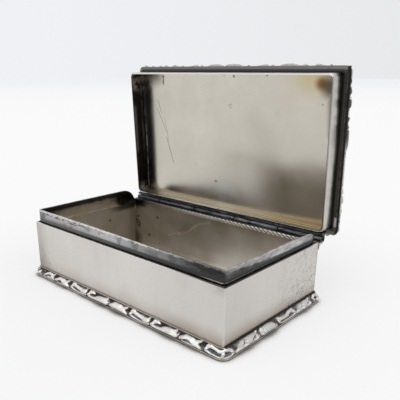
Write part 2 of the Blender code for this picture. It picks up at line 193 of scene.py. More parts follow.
class Finish(Nodes):
    """A metal finish: one material with a Principled shader."""

    def __init__(self, name, roughness=0.3, metallic=1.0):
        self.material = bpy.data.materials.new(name)
        self.material.use_nodes = True
        super().__init__(self.material.node_tree)
        self.shader = self.tree.nodes["Principled BSDF"]
        self.shader.inputs["Metallic"].default_value = metallic
        self.shader.inputs["Roughness"].default_value = roughness

    def place(self):
        """Where a point is on its own piece, in metres."""
        return self.node("ShaderNodeTexCoord", {}, {}, "Object")

    def millimetres(self):
        return [part * (1 / MM) for part in self.split(self.place())]

    def cloud(self, scale, detail=3.0, roughness=0.5, distortion=0.0, place=None):
        """Soft noise from 0 to 1, scale in bumps per metre."""
        values = {"Vector": place or self.place(), "Scale": scale, "Detail": detail,
                  "Roughness": roughness, "Distortion": distortion}
        return self.node("ShaderNodeTexNoise", {}, values, "Fac")

    def streaks(self, x, y, z, detail=3.0, roughness=0.5):
        """Noise drawn out one way: its bumps per metre along each axis."""
        stretched = self.node("ShaderNodeVectorMath", {"operation": "MULTIPLY"},
                              {0: self.place(), 1: (x, y, z)})
        return self.cloud(1.0, detail, roughness, place=stretched)

    def scratches(self, along, across):
        """Thin long marks both ways: streaks cut to their peaks."""
        return (self.streaks(*along, 4.0, 0.65).rise(0.60, 0.74) * 0.5
                + self.streaks(*across, 3.0, 0.6).rise(0.62, 0.78) * 0.5)

    def flecks(self, scale, small, large, patches):
        """Round flecks, scale of them per metre, in the patches of a wide cloud."""
        values = {"Vector": self.place(), "Scale": scale}
        cells = self.node("ShaderNodeTexVoronoi", {}, values, "Distance")
        return cells.rise(small, large, 1.0, 0.0) * patches

    def either(self, *masks):
        """The strongest of some masks."""
        best = masks[0]
        for mask in masks[1:]:
            best = self.math("MAXIMUM", best, mask)
        return best

    def spots(self, u, v, *rows):
        """Soft round spots. Each row is a centre, a radius and how far it is drawn out along u."""
        return self.either(*(self.spot(u, v, *row) for row in rows))

    def spot(self, u, v, centre, radius, stretched=1.0):
        """Soft spot: full in its core and gone at its radius."""
        du = (u - centre[0]) * (1 / stretched)
        dv = v - centre[1]
        away = self.math("SQRT", du * du + dv * dv)
        return away.rise(radius * SPOT_CORE, radius, 1.0, 0.0)

    def marks(self, u, v, *rows):
        """Straight marks that fade out sideways. Each row is a start, an end and a width."""
        return self.either(*(self.mark(u, v, *row) for row in rows))

    def mark(self, u, v, start, end, width):
        du, dv = end[0] - start[0], end[1] - start[1]
        share = ((u - start[0]) * du + (v - start[1]) * dv) * (1 / (du * du + dv * dv))
        share = self.node("ShaderNodeClamp", {}, {0: share})
        away_u = u - start[0] - share * du
        away_v = v - start[1] - share * dv
        away = self.math("SQRT", away_u * away_u + away_v * away_v)
        return away.rise(0.0, width, 1.0, 0.0)

    def blend(self, factor, first, second):
        """Colour going from first, at 0, to second, at 1."""
        settings = {"data_type": "RGBA"}
        return self.node("ShaderNodeMix", settings, {0: factor, 6: first, 7: second}, 2)

    def coats(self, colour, *layers):
        """Coats over a first colour. Each is a mask and the colour that it lays on."""
        for mask, coat in layers:
            colour = self.blend(mask, colour, coat)
        return colour

    def ramp(self, value, stops):
        return self.node("ShaderNodeValToRGB", {"stops": stops}, {0: value})

    def attribute(self, name):
        return self.node("ShaderNodeAttribute", {"attribute_name": name}, {}, "Fac")

    def done(self, colour, roughness, bump, strength, depth, metallic=None):
        """The material with its colour, roughness and relief, depth in millimetres."""
        self.feed(self.shader.inputs["Base Color"], colour)
        self.feed(self.shader.inputs["Roughness"], roughness)
        if metallic is not None:
            self.feed(self.shader.inputs["Metallic"], metallic)
        normal = self.node("ShaderNodeBump", {},
                           {"Strength": strength, "Distance": depth * MM, "Height": bump})
        self.feed(self.shader.inputs["Normal"], normal)
        return self.material


def grey(value, warmth=0.0):
    """A grey, warmed towards brown by a share."""
    return (value, value * (1 - 0.5 * warmth), value * (1 - warmth))


def outer_sheet():
    """Outside of the walls: satin silver, cloudy, brown above the border, lightly scratched, with
    painted shade towards the right and a painted highlight down the near corner.
    """
    finish = Finish("worn_silver_outside")
    x, y, z = finish.millimetres()
    front = y.rise(-24.2, -24.7)
    right = x.rise(44.2, 44.7)
    clouds = finish.cloud(110.0, 4.0, roughness=0.6)
    wide = finish.cloud(26.0, 2.0)
    upright = finish.streaks(210.0, 210.0, 16.0, 3.0, 0.6)
    soft = (wide * 0.75 + upright * 0.25).rise(0.36, 0.64)
    low = z.rise(9.0, 3.2) * clouds.rise(0.2, 0.6, 0.7, 1.0)
    ends = finish.either(x.rise(12.0, 36.0), x.rise(-32.0, -42.0) * 0.6)
    foot = z.rise(4.4, 3.3) * upright.rise(0.3, 0.6, 0.5, 1.0)
    foot_line = finish.blend(right, (0.16, 0.14, 0.12), (0.05, 0.045, 0.04))
    edge = x.rise(-36.0, -44.4) * front
    tilted = finish.streaks(2400.0, 2400.0, 420.0, 3.0, 0.6)
    nicks = tilted.rise(0.53, 0.64) * x.rise(-33.0, -40.0) * front
    nicks = nicks * z.rise(14.0, 7.0)
    rough_back = y.rise(-6.0, 19.0) * right
    rough_foot = rough_back * z.rise(15.0, 4.0, 0.45, 1.0)
    grain = finish.cloud(720.0, 3.0, roughness=0.6, distortion=1.2).rise(0.52, 0.62)
    back_edge = y.rise(23.6, 24.6) * right
    specks = finish.flecks(1100.0, 0.12, 0.26, finish.cloud(170.0).rise(0.5, 0.6))
    near = x.rise(36.0, 44.5) * z.rise(17.0, 20.8) * front
    # A painted highlight down the rounded near corner.
    painted_highlight_line = x.rise(44.2, 44.9) * y.rise(-24.2, -24.9)
    marks = finish.scratches((900.0, 900.0, 60.0), (140.0, 140.0, 1600.0))
    rim = z.rise(20.7, 20.82)
    worn_off = finish.cloud(1300.0, 2.0).rise(0.54, 0.62) * y.rise(-10.0, 10.0, 0.3, 0.9)
    rim_colour = finish.blend(worn_off, (0.8, 0.79, 0.77), (0.16, 0.15, 0.14))
    dark_rim = finish.either(right, x.rise(22.0, 40.0) * front) * y.rise(23.0, 19.0)
    rim_colour = finish.blend(dark_rim * 0.9, rim_colour, (0.065, 0.06, 0.055))
    colour = finish.coats(
        finish.blend(soft, (0.63, 0.595, 0.555), (0.705, 0.675, 0.635)),
        (clouds.rise(0.5, 0.8) * 0.3, (0.54, 0.51, 0.475)),
        # Painted shade: the right wall and the right end of the front wall are darker, as dimmer
        # reflections.
        (right * y.rise(-21.0, -6.0, 0.6, 0.38), (0.5, 0.475, 0.45)),
        (x.rise(0.0, 32.0) * front * 0.3, (0.5, 0.475, 0.44)),
        (low * (ends * 0.55 + 0.42), (0.41, 0.365, 0.31)),
        (foot * 0.3, (0.26, 0.21, 0.17)),
        (z.line(3.42, 0.18) * 0.7, foot_line),
        (edge * z.rise(18.0, 4.0, 0.3, 0.75), (0.26, 0.25, 0.235)),
        (nicks * 0.6, (0.13, 0.12, 0.11)),
        (rough_foot * grain * 0.7, (0.2, 0.18, 0.16)),
        (back_edge * 0.6, (0.3, 0.285, 0.265)),
        (specks * (rough_back * 0.7 + 0.04), (0.13, 0.11, 0.1)),
        (near * clouds.rise(0.4, 0.6) * 0.4, (0.22, 0.21, 0.2)),
        (painted_highlight_line * 0.3, (0.84, 0.82, 0.8)),
        (marks * 0.12, (0.3, 0.28, 0.27)),
        (rim, rim_colour))
    roughness = clouds.rise(0.25, 0.75, 0.25, 0.38)
    bump = clouds * 0.6 + marks * -0.4 + rough_foot * grain * -1.2 + nicks * -0.8
    return finish.done(colour, roughness, bump, 0.3, 0.04)


def inner_sheet():
    """Inside of the walls: brown and olive tarnish, darkest in the corners and at the top, with
    painted light low on the back wall, on the unseen front and right walls and along the back
    wall's top rim.
    """
    finish = Finish("tarnished_inside")
    x, y, z = finish.millimetres()
    back = y.rise(23.6, 24.1)
    left = x.rise(-43.6, -44.1)
    clouds = finish.cloud(120.0, 5.0, roughness=0.62)
    wide = finish.cloud(32.0, 3.0)
    # Painted light: the back wall is lighter low down and to the right, and brighter still in a
    # spot low on it, as light falling into the box.
    light = x.rise(-6.0, 15.0) * z.rise(18.5, 6.0)
    low_light = finish.spot(x, z, (7.5, 3.5), 9.0, 1.2) * back
    dull = x.between(-14.0, 4.0, 9.0) * z.between(8.0, 18.0, 3.0) * back
    # Painted light on the inner front and right walls, which the camera does not see, so that the
    # lid's polished sheet reflects them light.
    unseen = finish.either(y.rise(-23.6, -24.1), x.rise(43.6, 44.1))
    top = z.rise(16.5, 21.0)
    corner = finish.either(x.rise(-39.0, -44.2) * back, y.rise(17.5, 24.2) * left)
    high = z.rise(15.8, 18.2) * clouds.rise(0.35, 0.55, 0.75, 1.0)
    spread = clouds * 5.0 - 2.5 + y
    stain = spread.rise(8.0, 18.0) * (z + clouds * 3.0).rise(17.6, 19.6) * left
    burnt = z.rise(14.5, 20.0) * y.rise(-6.0, -20.0) * left
    low = z.rise(8.5, 3.0) * clouds.rise(0.4, 0.52)
    joint = finish.either(x.rise(-43.9, -44.2) * back, y.rise(23.9, 24.2) * left)
    joint_colour = finish.blend(z.rise(15.5, 17.0), (0.05, 0.04, 0.03), (0.42, 0.39, 0.35))
    pit = finish.spots(x, z, ((-30.6, 14.7), 0.95), ((-35.9, 5.8), 1.05), ((-29.4, 3.4), 0.5))
    pit = finish.either(pit * back, finish.spot(y, z, (9.8, 13.8), 0.8) * left)
    scribble = finish.marks(
        x, z, ((-43.4, 12.9), (-42.2, 13.3), 0.55), ((-43.6, 11.6), (-41.6, 10.2), 0.65),
        ((-41.6, 10.2), (-41.9, 8.6), 0.6), ((-43.6, 10.2), (-42.6, 8.6), 0.6))
    vein = finish.marks(
        x, z, ((-24.0, 8.3), (-13.5, 11.8), 0.9), ((-13.5, 11.8), (-7.4, 16.4), 0.9),
        ((-7.4, 16.4), (-1.5, 18.2), 0.8))
    broken = finish.cloud(500.0, 3.0).rise(0.35, 0.6, 0.35, 1.0)
    solder = finish.mark(y, z, (-11.0, 19.5), (11.5, 19.4), 0.2) * left
    flecks = finish.flecks(520.0, 0.08, 0.17, finish.cloud(70.0).rise(0.55, 0.66))
    # Painted highlight along the back wall's top rim, broken into slanted light and dark dashes;
    # where they are light the metal is turned down so that they show bright.
    slanted = finish.math("SINE", (x + z * 1.6) * 3.3)
    dashes = (slanted + finish.cloud(700.0, 2.0) * 1.6).rise(0.3, 1.5)
    rim = z.rise(19.65, 19.9) * back * x.rise(-40.0, -34.0)
    leftward = x.rise(-8.0, -28.0)
    dash_light = finish.blend(leftward, (0.92, 0.88, 0.79), (0.6, 0.55, 0.46))
    dash_dark = finish.blend(leftward, (0.36, 0.335, 0.285), (0.16, 0.145, 0.12))
    rim_colour = finish.blend(dashes, dash_dark, dash_light)
    rim_colour = finish.blend(z.line(20.3, 0.16) * 0.6, rim_colour, (0.1, 0.09, 0.08))
    rubbed_and_lit = rim * dashes * x.rise(-30.0, 10.0, 0.1, 0.42)
    hinge_stain = (x + clouds * 4.0).rise(-33.0, -38.5) * z.rise(17.2, 18.8) * back
    dark_rim = z.rise(20.55, 20.75) * x.rise(44.2, 44.35)
    colour = finish.coats(
        finish.blend(clouds.rise(0.3, 0.7), (0.48, 0.44, 0.37), (0.6, 0.56, 0.49)),
        (wide.rise(0.4, 0.65) * 0.5, (0.5, 0.475, 0.43)),
        (light * 0.85 * back, (0.87, 0.845, 0.82)),
        (low_light * 0.5, (0.95, 0.93, 0.915)),
        (dull * 0.22, (0.3, 0.28, 0.245)),
        (unseen, (0.88, 0.85, 0.81)),
        (top * back * 0.6, (0.3, 0.245, 0.165)),
        (corner * 0.38, (0.32, 0.22, 0.13)),
        (corner * high * 0.92, (0.02, 0.017, 0.015)),
        (stain * 0.9, (0.022, 0.019, 0.016)),
        (burnt * 0.6, (0.12, 0.1, 0.08)),
        (corner * low * back * 0.75, (0.07, 0.055, 0.04)),
        (joint * 0.55, joint_colour),
        (pit * 0.9, (0.045, 0.04, 0.035)),
        (scribble * back * 0.95, (0.03, 0.027, 0.022)),
        (vein * back * broken * 0.6, (0.78, 0.74, 0.67)),
        (solder * broken * 0.9, (0.85, 0.8, 0.7)),
        (flecks * 0.4, (0.1, 0.09, 0.075)),
        (left * 0.12, (0.25, 0.22, 0.16)),
        (rim * x.rise(41.0, 34.0), rim_colour),
        (hinge_stain * 0.9, (0.03, 0.027, 0.023)),
        (dark_rim * 0.95, (0.06, 0.055, 0.05)))
    roughness = clouds.rise(0.25, 0.75, 0.32, 0.46)
    return finish.done(colour, roughness, clouds + pit * -1.5 + vein * 0.6, 0.4, 0.05,
                       metallic=1.0 - rubbed_and_lit)


def bezel_sheet():
    """The bezel: streaky and scratched outside, tarnished inside, bright on its rim, with painted
    shade along its foot, a painted highlight along its lower bend on the right and painted light
    on its unseen inner faces.
    """
    finish = Finish("scratched_bezel")
    x, y, z = finish.millimetres()
    top = finish.attribute("rim_height")
    below = top - z
    right = finish.either(x.rise(43.45, 43.9), x.rise(30.0, 40.0) * y.rise(20.0, 22.0))
    outside = finish.attribute("outer_face").rise(0.3, 0.7)
    streaks = finish.streaks(190.0, 190.0, 1300.0, 5.0, 0.68)
    blotch = finish.streaks(260.0, 260.0, 420.0, 4.0, 0.6)
    fine = finish.streaks(700.0, 700.0, 2400.0, 4.0, 0.6)
    along = finish.ramp((x + HALF_LENGTH) * (0.5 / HALF_LENGTH),
                        ((0.0, grey(0.09)), (0.03, grey(0.22)), (0.08, grey(0.42, 0.03)),
                         (0.3, grey(0.42, 0.04)), (0.46, grey(0.48, 0.02)), (0.6, grey(0.31)),
                         (0.78, grey(0.185)), (0.87, grey(0.036)), (1.0, grey(0.022))))
    light = finish.blend(0.55, along, (0.72, 0.71, 0.69))
    dark = finish.blend(0.6, along, (0.05, 0.05, 0.05))
    left_part = x.rise(16.0, -14.0, 0.15, 1.0)
    dents = finish.streaks(520.0, 520.0, 1500.0, 3.0, 0.6).rise(0.51, 0.58)
    dents = dents * below.between(0.7, 1.3, 0.3) * x.between(-38.0, -14.0, 3.0)
    lower = below.rise(1.7, 2.5) * x.rise(-10.0, -30.0, 0.15, 0.45)
    glint = below.between(0.2, 0.42, 0.12) * x.rise(34.0, 8.0, 0.25, 1.0)
    glint = glint * finish.streaks(500.0, 500.0, 500.0, 2.0).rise(0.4, 0.58)
    front = finish.coats(
        finish.blend(streaks.rise(0.52, 0.7) * left_part, along, light),
        (blotch.rise(0.5, 0.36) * 0.8, dark),
        (fine.rise(0.5, 0.72) * 0.3 * left_part, light),
        (dents * 0.95, (0.03, 0.03, 0.03)),
        (lower, (0.09, 0.09, 0.09)),
        (glint * 0.8, (0.8, 0.79, 0.76)))
    side_light = finish.blend(streaks.rise(0.38, 0.62), grey(0.29), grey(0.55, 0.03))
    side_dark = finish.blend(blotch.rise(0.4, 0.6), grey(0.045), grey(0.1))
    limit = y.rise(-23.0, 8.0, 1.0, 2.3) + blotch * 1.4 - 0.7
    upper = (below - limit).rise(0.5, -0.5) * y.rise(-24.0, -12.0, 0.3, 1.0)
    side_light = finish.blend(y.rise(14.0, 23.0) * 0.65, side_light, grey(0.1))
    side_colour = finish.blend(upper, side_dark, side_light)
    # Painted shade: the bezel is dark along its foot, just above the wall's rim.
    foot = z.rise(22.85, 22.4)
    foot_colour = finish.blend(x.rise(25.0, -32.0), grey(0.048), grey(0.115))
    # A painted highlight along the bezel's lower bend, on the right side towards the front and at
    # the right end of the front.
    flange = (z.line(21.5, 0.28)
              * finish.either(right * y.rise(0.0, -14.0), x.rise(34.0, 40.0) * 0.7))
    worn = finish.coats(
        finish.blend(right, front, side_colour),
        (foot * 0.94, foot_colour),
        (flange * 0.85, (0.62, 0.605, 0.58)))
    clouds = finish.cloud(130.0, 4.0)
    burnt = finish.either(y.rise(-10.0, -22.0), y.rise(8.0, 17.0) * 1.4)
    burnt = finish.math("MINIMUM", burnt, 1.0) * x.rise(-34.0, -43.0)
    reach = y.rise(10.0, 18.0) * 3.6
    high = (below - reach).rise(5.6, 2.6) * clouds.rise(0.3, 0.6, 0.8, 1.0)
    edge = (below + blotch * 1.2).rise(3.2, 2.0) * x.rise(-34.0, -43.0)
    # Painted light on the inner front and right faces, which the camera does not see, for the
    # lid's polished sheet to reflect.
    unseen = finish.either(y.rise(-22.8, -23.3), x.rise(42.8, 43.3))
    solder = (z + clouds * 0.8).line(20.4, 0.28) * y.between(-12.0, 9.0, 4.0)
    solder = solder * x.rise(-42.0, -43.2) * finish.cloud(500.0).rise(0.35, 0.55)
    inside = finish.coats(
        finish.blend(clouds.rise(0.3, 0.7), (0.38, 0.34, 0.285), (0.5, 0.46, 0.4)),
        (edge * 0.95, (0.014, 0.013, 0.012)),
        (unseen * x.rise(-40.0, -30.0), (0.82, 0.79, 0.75)),
        (burnt * high, (0.012, 0.011, 0.01)),
        (solder * 0.8, (0.78, 0.72, 0.62)))
    colour = finish.blend(outside, inside, worn)
    rim = below.rise(0.16, 0.06)
    rim_light = finish.blend(x.rise(10.0, 40.0) * y.rise(-23.0, -24.0), (0.78, 0.765, 0.735),
                             (0.2, 0.195, 0.19))
    rim_light = finish.blend(fine.rise(0.45, 0.6) * 0.5, rim_light, (0.18, 0.17, 0.16))
    colour = finish.blend(rim * x.rise(-43.0, -41.5, 0.35, 1.0), colour, rim_light)
    roughness = streaks.rise(0.3, 0.7, 0.26, 0.4)
    return finish.done(colour, roughness, streaks + fine * 0.4 + dents * -1.0, 0.4, 0.04)


def box_floor():
    """The base plate: tarnished inside the box, brown and worn where its edge shows outside, with
    painted shade low on that edge and a painted highlight high on it.
    """
    finish = Finish("tarnished_floor")
    x, y, z = finish.millimetres()
    clouds = finish.cloud(70.0, 5.0, roughness=0.6)
    rosy = x.rise(0.0, 34.0) * y.rise(14.0, -16.0)
    flecks = finish.flecks(300.0, 0.08, 0.18, finish.cloud(60.0).rise(0.52, 0.64))
    side = finish.math("MAXIMUM", abs(x) - HALF_LENGTH, abs(y) - HALF_DEPTH)
    edge = side.rise(0.0, 0.4)
    # The edge is painted darker at its bottom as shade and lighter at its top as a highlight.
    edge_colour = finish.coats(
        finish.blend(finish.cloud(240.0).rise(0.35, 0.65), (0.36, 0.325, 0.285),
                     (0.52, 0.475, 0.43)),
        (z.rise(0.3, 0.1) * 0.6, (0.12, 0.105, 0.09)),
        (z.rise(0.34, 0.46) * 0.7, (0.74, 0.71, 0.67)))
    colour = finish.coats(
        finish.blend(clouds.rise(0.3, 0.7), (0.6, 0.555, 0.49), (0.7, 0.66, 0.6)),
        (rosy * 0.5, (0.8, 0.72, 0.665)),
        (flecks * 0.6, (0.08, 0.07, 0.06)),
        (edge, edge_colour))
    roughness = clouds.rise(0.25, 0.75, 0.28, 0.42)
    return finish.done(colour, roughness, clouds, 0.3, 0.04)


def lid_mirror():
    """Lid's top sheet: polished inside, yellowed and cloudy with age, golden by the hinge, with a
    painted highlight along its left edge and a light painted reflection by the hinge.
    """
    finish = Finish("polished_lid_sheet")
    x, y, _ = finish.millimetres()
    clouds = finish.cloud(55.0, 4.0, roughness=0.55)
    fine = finish.cloud(260.0, 4.0, roughness=0.62)
    # Darker areas: a diagonal band right of the middle and a fainter patch on the left.
    darker_patches = finish.either(finish.mark(x, y, (11.0, -8.0), (19.0, 0.0), 8.5),
                         finish.spot(x, y, (-33.0, -12.0), 9.0) * 0.5)
    far = finish.spot(x, y, (34.0, -15.0), 22.0)
    # A light painted reflection in the middle by the hinge.
    pale_reflection = finish.spot(x, y, (-0.5, 21.5), 6.5, 1.3)
    grey_patch = finish.spot(x, y, (9.5, 17.0), 9.0, 1.3)
    dull = finish.spot(x, y, (-27.0, 9.0), 16.0)
    hinge_side = y.rise(21.5, 24.6)
    amber = finish.spot(x, y, (35.5, -23.0), 8.0, 1.6)
    core = finish.spot(x, y, (37.9, -21.6), 3.2, 1.1)
    burnt = finish.either(finish.spot(x, y, (41.2, -20.6), 5.6),
                          finish.mark(x, y, (42.0, -19.0), (43.0, -6.0), 3.0) * 0.95)
    right_edge = x.rise(42.5, 44.0)
    left_edge = finish.either(x.rise(-38.4, -41.8), finish.spot(x, y, (-37.5, -25.0), 7.5))
    # A painted highlight along the joint of the sheet with the lid's left wall, where the metal is
    # also turned down.
    painted_highlight_line = x.line(-44.15, 0.4) * fine.rise(0.4, 0.56, 0.25, 1.0)
    painted_highlight_line = painted_highlight_line * y.rise(-14.0, 2.0, 0.35, 1.0)
    dots = finish.spots(
        x, y, ((3.3, -23.6), 0.75), ((17.4, -24.0), 0.6), ((-1.1, -24.1), 0.45),
        ((-33.0, -21.1), 0.5), ((-32.3, -23.3), 0.8, 1.4), ((-5.8, 16.1), 0.6, 1.6))
    dots = finish.either(dots, finish.spot(x, y, (38.6, -15.2), 0.6) * 0.6,
                         finish.mark(x, y, (-32.3, -23.2), (-32.5, -20.3), 0.55))
    rust = finish.marks(x, y, ((0.2, -13.4), (1.2, -13.5), 0.35),
                        ((1.2, -13.5), (1.7, -13.9), 0.35))
    rust = finish.either(rust, finish.spot(x, y, (1.2, -12.6), 0.5))
    hair = finish.marks(
        x, y, ((-37.3, -10.7), (-32.6, -1.0), 0.22), ((-32.9, 1.0), (-29.3, 11.2), 0.3),
        ((-36.5, -14.0), (-35.0, -9.0), 0.25), ((-33.5, -7.0), (-31.6, 3.0), 0.18))
    fine_lines = finish.scratches((60.0, 900.0, 900.0), (900.0, 60.0, 900.0))
    colour = finish.coats(
        finish.blend(clouds.rise(0.3, 0.72), (0.56, 0.525, 0.46), (0.625, 0.59, 0.525)),
        (fine.rise(0.56, 0.74) * 0.22, (0.47, 0.44, 0.38)),
        (darker_patches * 0.28, (0.38, 0.355, 0.31)),
        (far * 0.16, (0.46, 0.42, 0.33)),
        (pale_reflection * 0.75, (0.84, 0.83, 0.82)),
        (grey_patch * 0.28, (0.36, 0.35, 0.34)),
        (dull * 0.14, (0.44, 0.41, 0.35)),
        (hinge_side * 0.5, (0.66, 0.575, 0.42)),
        (amber * 0.75, (0.52, 0.44, 0.25)),
        (core * 0.95, (0.22, 0.11, 0.03)),
        (burnt * 0.9, (0.055, 0.04, 0.03)),
        (right_edge * 0.8, (0.09, 0.08, 0.07)),
        (left_edge * 0.88, (0.07, 0.067, 0.063)),
        (painted_highlight_line * 0.9, (0.6, 0.585, 0.56)),
        (dots * 0.85, (0.06, 0.05, 0.04)),
        (rust * 0.65, (0.26, 0.19, 0.08)),
        (hair * 0.75, (0.13, 0.12, 0.1)),
        (fine_lines * 0.12, (0.36, 0.33, 0.28)))
    roughness = clouds.rise(0.25, 0.75, 0.17, 0.26) + fine_lines * 0.04
    return finish.done(colour, roughness, clouds + fine * 0.15 + hair * -0.5, 0.1, 0.05,
                       metallic=1.0 - painted_highlight_line * 0.6)


def lid_top():
    """Top of the lid: satin silver, cloudy, tarnished along the border, with fine scratches."""
    finish = Finish("worn_silver_top")
    x, y, _ = finish.millimetres()
    clouds = finish.cloud(90.0, 4.0, roughness=0.6)
    wide = finish.cloud(24.0, 2.0)
    to_border = finish.math("MAXIMUM", abs(x) - HALF_LENGTH, abs(y) - HALF_DEPTH)
    tarnish = to_border.rise(-6.1, -1.6) * clouds.rise(0.25, 0.6, 0.45, 1.0)
    fine_lines = finish.scratches((60.0, 900.0, 900.0), (900.0, 80.0, 900.0))
    colour = finish.coats(
        finish.blend(wide.rise(0.36, 0.64), (0.6, 0.57, 0.53), (0.7, 0.67, 0.635)),
        (clouds.rise(0.5, 0.8) * 0.35, (0.5, 0.47, 0.43)),
        (tarnish * 0.7, (0.24, 0.2, 0.165)),
        (fine_lines * 0.25, (0.32, 0.3, 0.28)))
    roughness = clouds.rise(0.25, 0.75, 0.24, 0.36) + fine_lines * 0.05
    return finish.done(colour, roughness, clouds + fine_lines * -0.5, 0.2, 0.05)


def lid_wall_outside():
    """Lid's walls outside: bright satin by the mouth, olive to black towards the border, with a
    painted highlight along the mouth's rim.
    """
    finish = Finish("lid_wall_outside")
    x, y, z = finish.millimetres()
    clouds = finish.cloud(130.0, 4.0, roughness=0.6)
    rise = z - LID_MOUTH
    right = x.rise(44.3, 44.8)
    limit = y * y * (-1.6 / 22.0 ** 2) + finish.cloud(60.0, 2.0) * 0.9 + 3.7
    olive = (rise - limit).rise(-0.4, 0.35)
    crease = rise.line(3.3, 0.25) * y.rise(4.0, 16.0)
    # A painted highlight along the mouth's rim, dull on the right side.
    rim = rise.rise(0.28, 0.12)
    rim_colour = finish.blend(right, (0.84, 0.82, 0.78), (0.3, 0.28, 0.26))
    colour = finish.coats(
        finish.blend(clouds.rise(0.3, 0.7), (0.55, 0.53, 0.495), (0.65, 0.63, 0.6)),
        (olive * 0.9, (0.21, 0.195, 0.145)),
        ((rise - limit).rise(0.5, 1.6) * 0.9, (0.03, 0.028, 0.025)),
        (crease * 0.35, (0.28, 0.26, 0.23)),
        (rim * 0.7, rim_colour))
    # At the back the rim's metal is turned down so that its painted highlight shows bright.
    rubbed_and_lit = rim * y.rise(24.0, 24.5) * x.between(-34.0, 10.0, 5.0)
    roughness = clouds.rise(0.25, 0.75, 0.24, 0.38)
    return finish.done(colour, roughness, clouds, 0.3, 0.05, metallic=1.0 - rubbed_and_lit * 0.85)


def lid_wall_inside():
    """Lid's walls inside: nearly black on the left, cream with gold solder lines at the back, with
    a painted highlight along the mouth edge.
    """
    finish = Finish("lid_wall_inside")
    x, y, z = finish.millimetres()
    rise = z - LID_MOUTH
    clouds = finish.cloud(150.0, 4.0, roughness=0.62)
    spotty = finish.cloud(420.0, 3.0, roughness=0.6)
    left = x.rise(-42.2, -43.6)
    streak = rise.between(4.4, 5.0, 0.45) * y.rise(12.0, -6.0, 0.2, 1.0)
    outer = rise.rise(1.9, 1.0) * y.between(-10.0, 6.0, 3.0)
    solder = y.rise(-16.5, -20.0) * clouds.rise(0.32, 0.44)
    blob = finish.spot(y, rise, (23.0, 3.0), 3.4)
    black = finish.coats(
        finish.blend(spotty.rise(0.5, 0.75), (0.018, 0.018, 0.017), (0.045, 0.043, 0.038)),
        (streak * clouds.rise(0.35, 0.6) * 0.8, (0.2, 0.2, 0.175)),
        (outer * 0.8, (0.16, 0.16, 0.155)),
        (solder * spotty.rise(0.36, 0.52), (0.3, 0.255, 0.215)),
        (blob * spotty.rise(0.36, 0.58), (0.36, 0.335, 0.3)))
    back = y.rise(23.0, 23.8)
    golden = x.rise(4.0, 36.0)
    lines = finish.either(rise.line(1.55, 0.38), rise.line(3.05, 0.38), rise.line(4.3, 0.3) * 0.5)
    lines = lines * finish.streaks(90.0, 1.0, 1.0, 2.0).rise(0.3, 0.5, 0.75, 1.0)
    between_lines = finish.either(rise.line(2.35, 0.4), rise.line(0.7, 0.4))
    dark_end = x.rise(-30.0, -37.0)
    strip = finish.coats(
        finish.blend(rise.rise(2.2, 3.6), (0.42, 0.35, 0.235), (0.47, 0.43, 0.36)),
        (golden * 0.9, (0.33, 0.215, 0.052)),
        (lines * 0.85, (0.84, 0.7, 0.44)),
        (between_lines * 0.55, (0.14, 0.1, 0.05)),
        (dark_end * 0.7, (0.3, 0.24, 0.15)))
    # The mouth edge is painted as a highlight: cream along most of the back and light at the
    # front, going brown and black towards the back's ends, and dark on the sides.
    rim = rise.rise(0.45, 0.25)
    rim_colour = finish.coats(
        finish.blend(x.rise(34.0, 8.0), (0.22, 0.19, 0.14), (0.86, 0.8, 0.66)),
        (x.rise(-34.0, -39.0), (0.05, 0.045, 0.04)),
        (y.rise(-23.5, -24.3), (0.84, 0.81, 0.75)),
        (x.rise(43.4, 44.2), (0.16, 0.15, 0.14)),
        (x.rise(-42.8, -43.8), (0.03, 0.029, 0.028)))
    colour = finish.coats(
        finish.blend(clouds.rise(0.35, 0.7), (0.4, 0.37, 0.325), (0.52, 0.49, 0.44)),
        (left, black),
        (back * x.rise(-43.5, -41.5), strip),
        (rim * 0.85, rim_colour))
    rim_rubbed = x.rise(-34.0, -18.0) * x.rise(12.0, -8.0, 0.2, 0.6)
    rubbed_and_lit = finish.either(rim * rim_rubbed, lines * 0.6) * back
    roughness = clouds.rise(0.25, 0.75, 0.26, 0.4)
    return finish.done(colour, roughness, clouds + spotty * 0.3, 0.35, 0.05, metallic=1.0 - rubbed_and_lit)


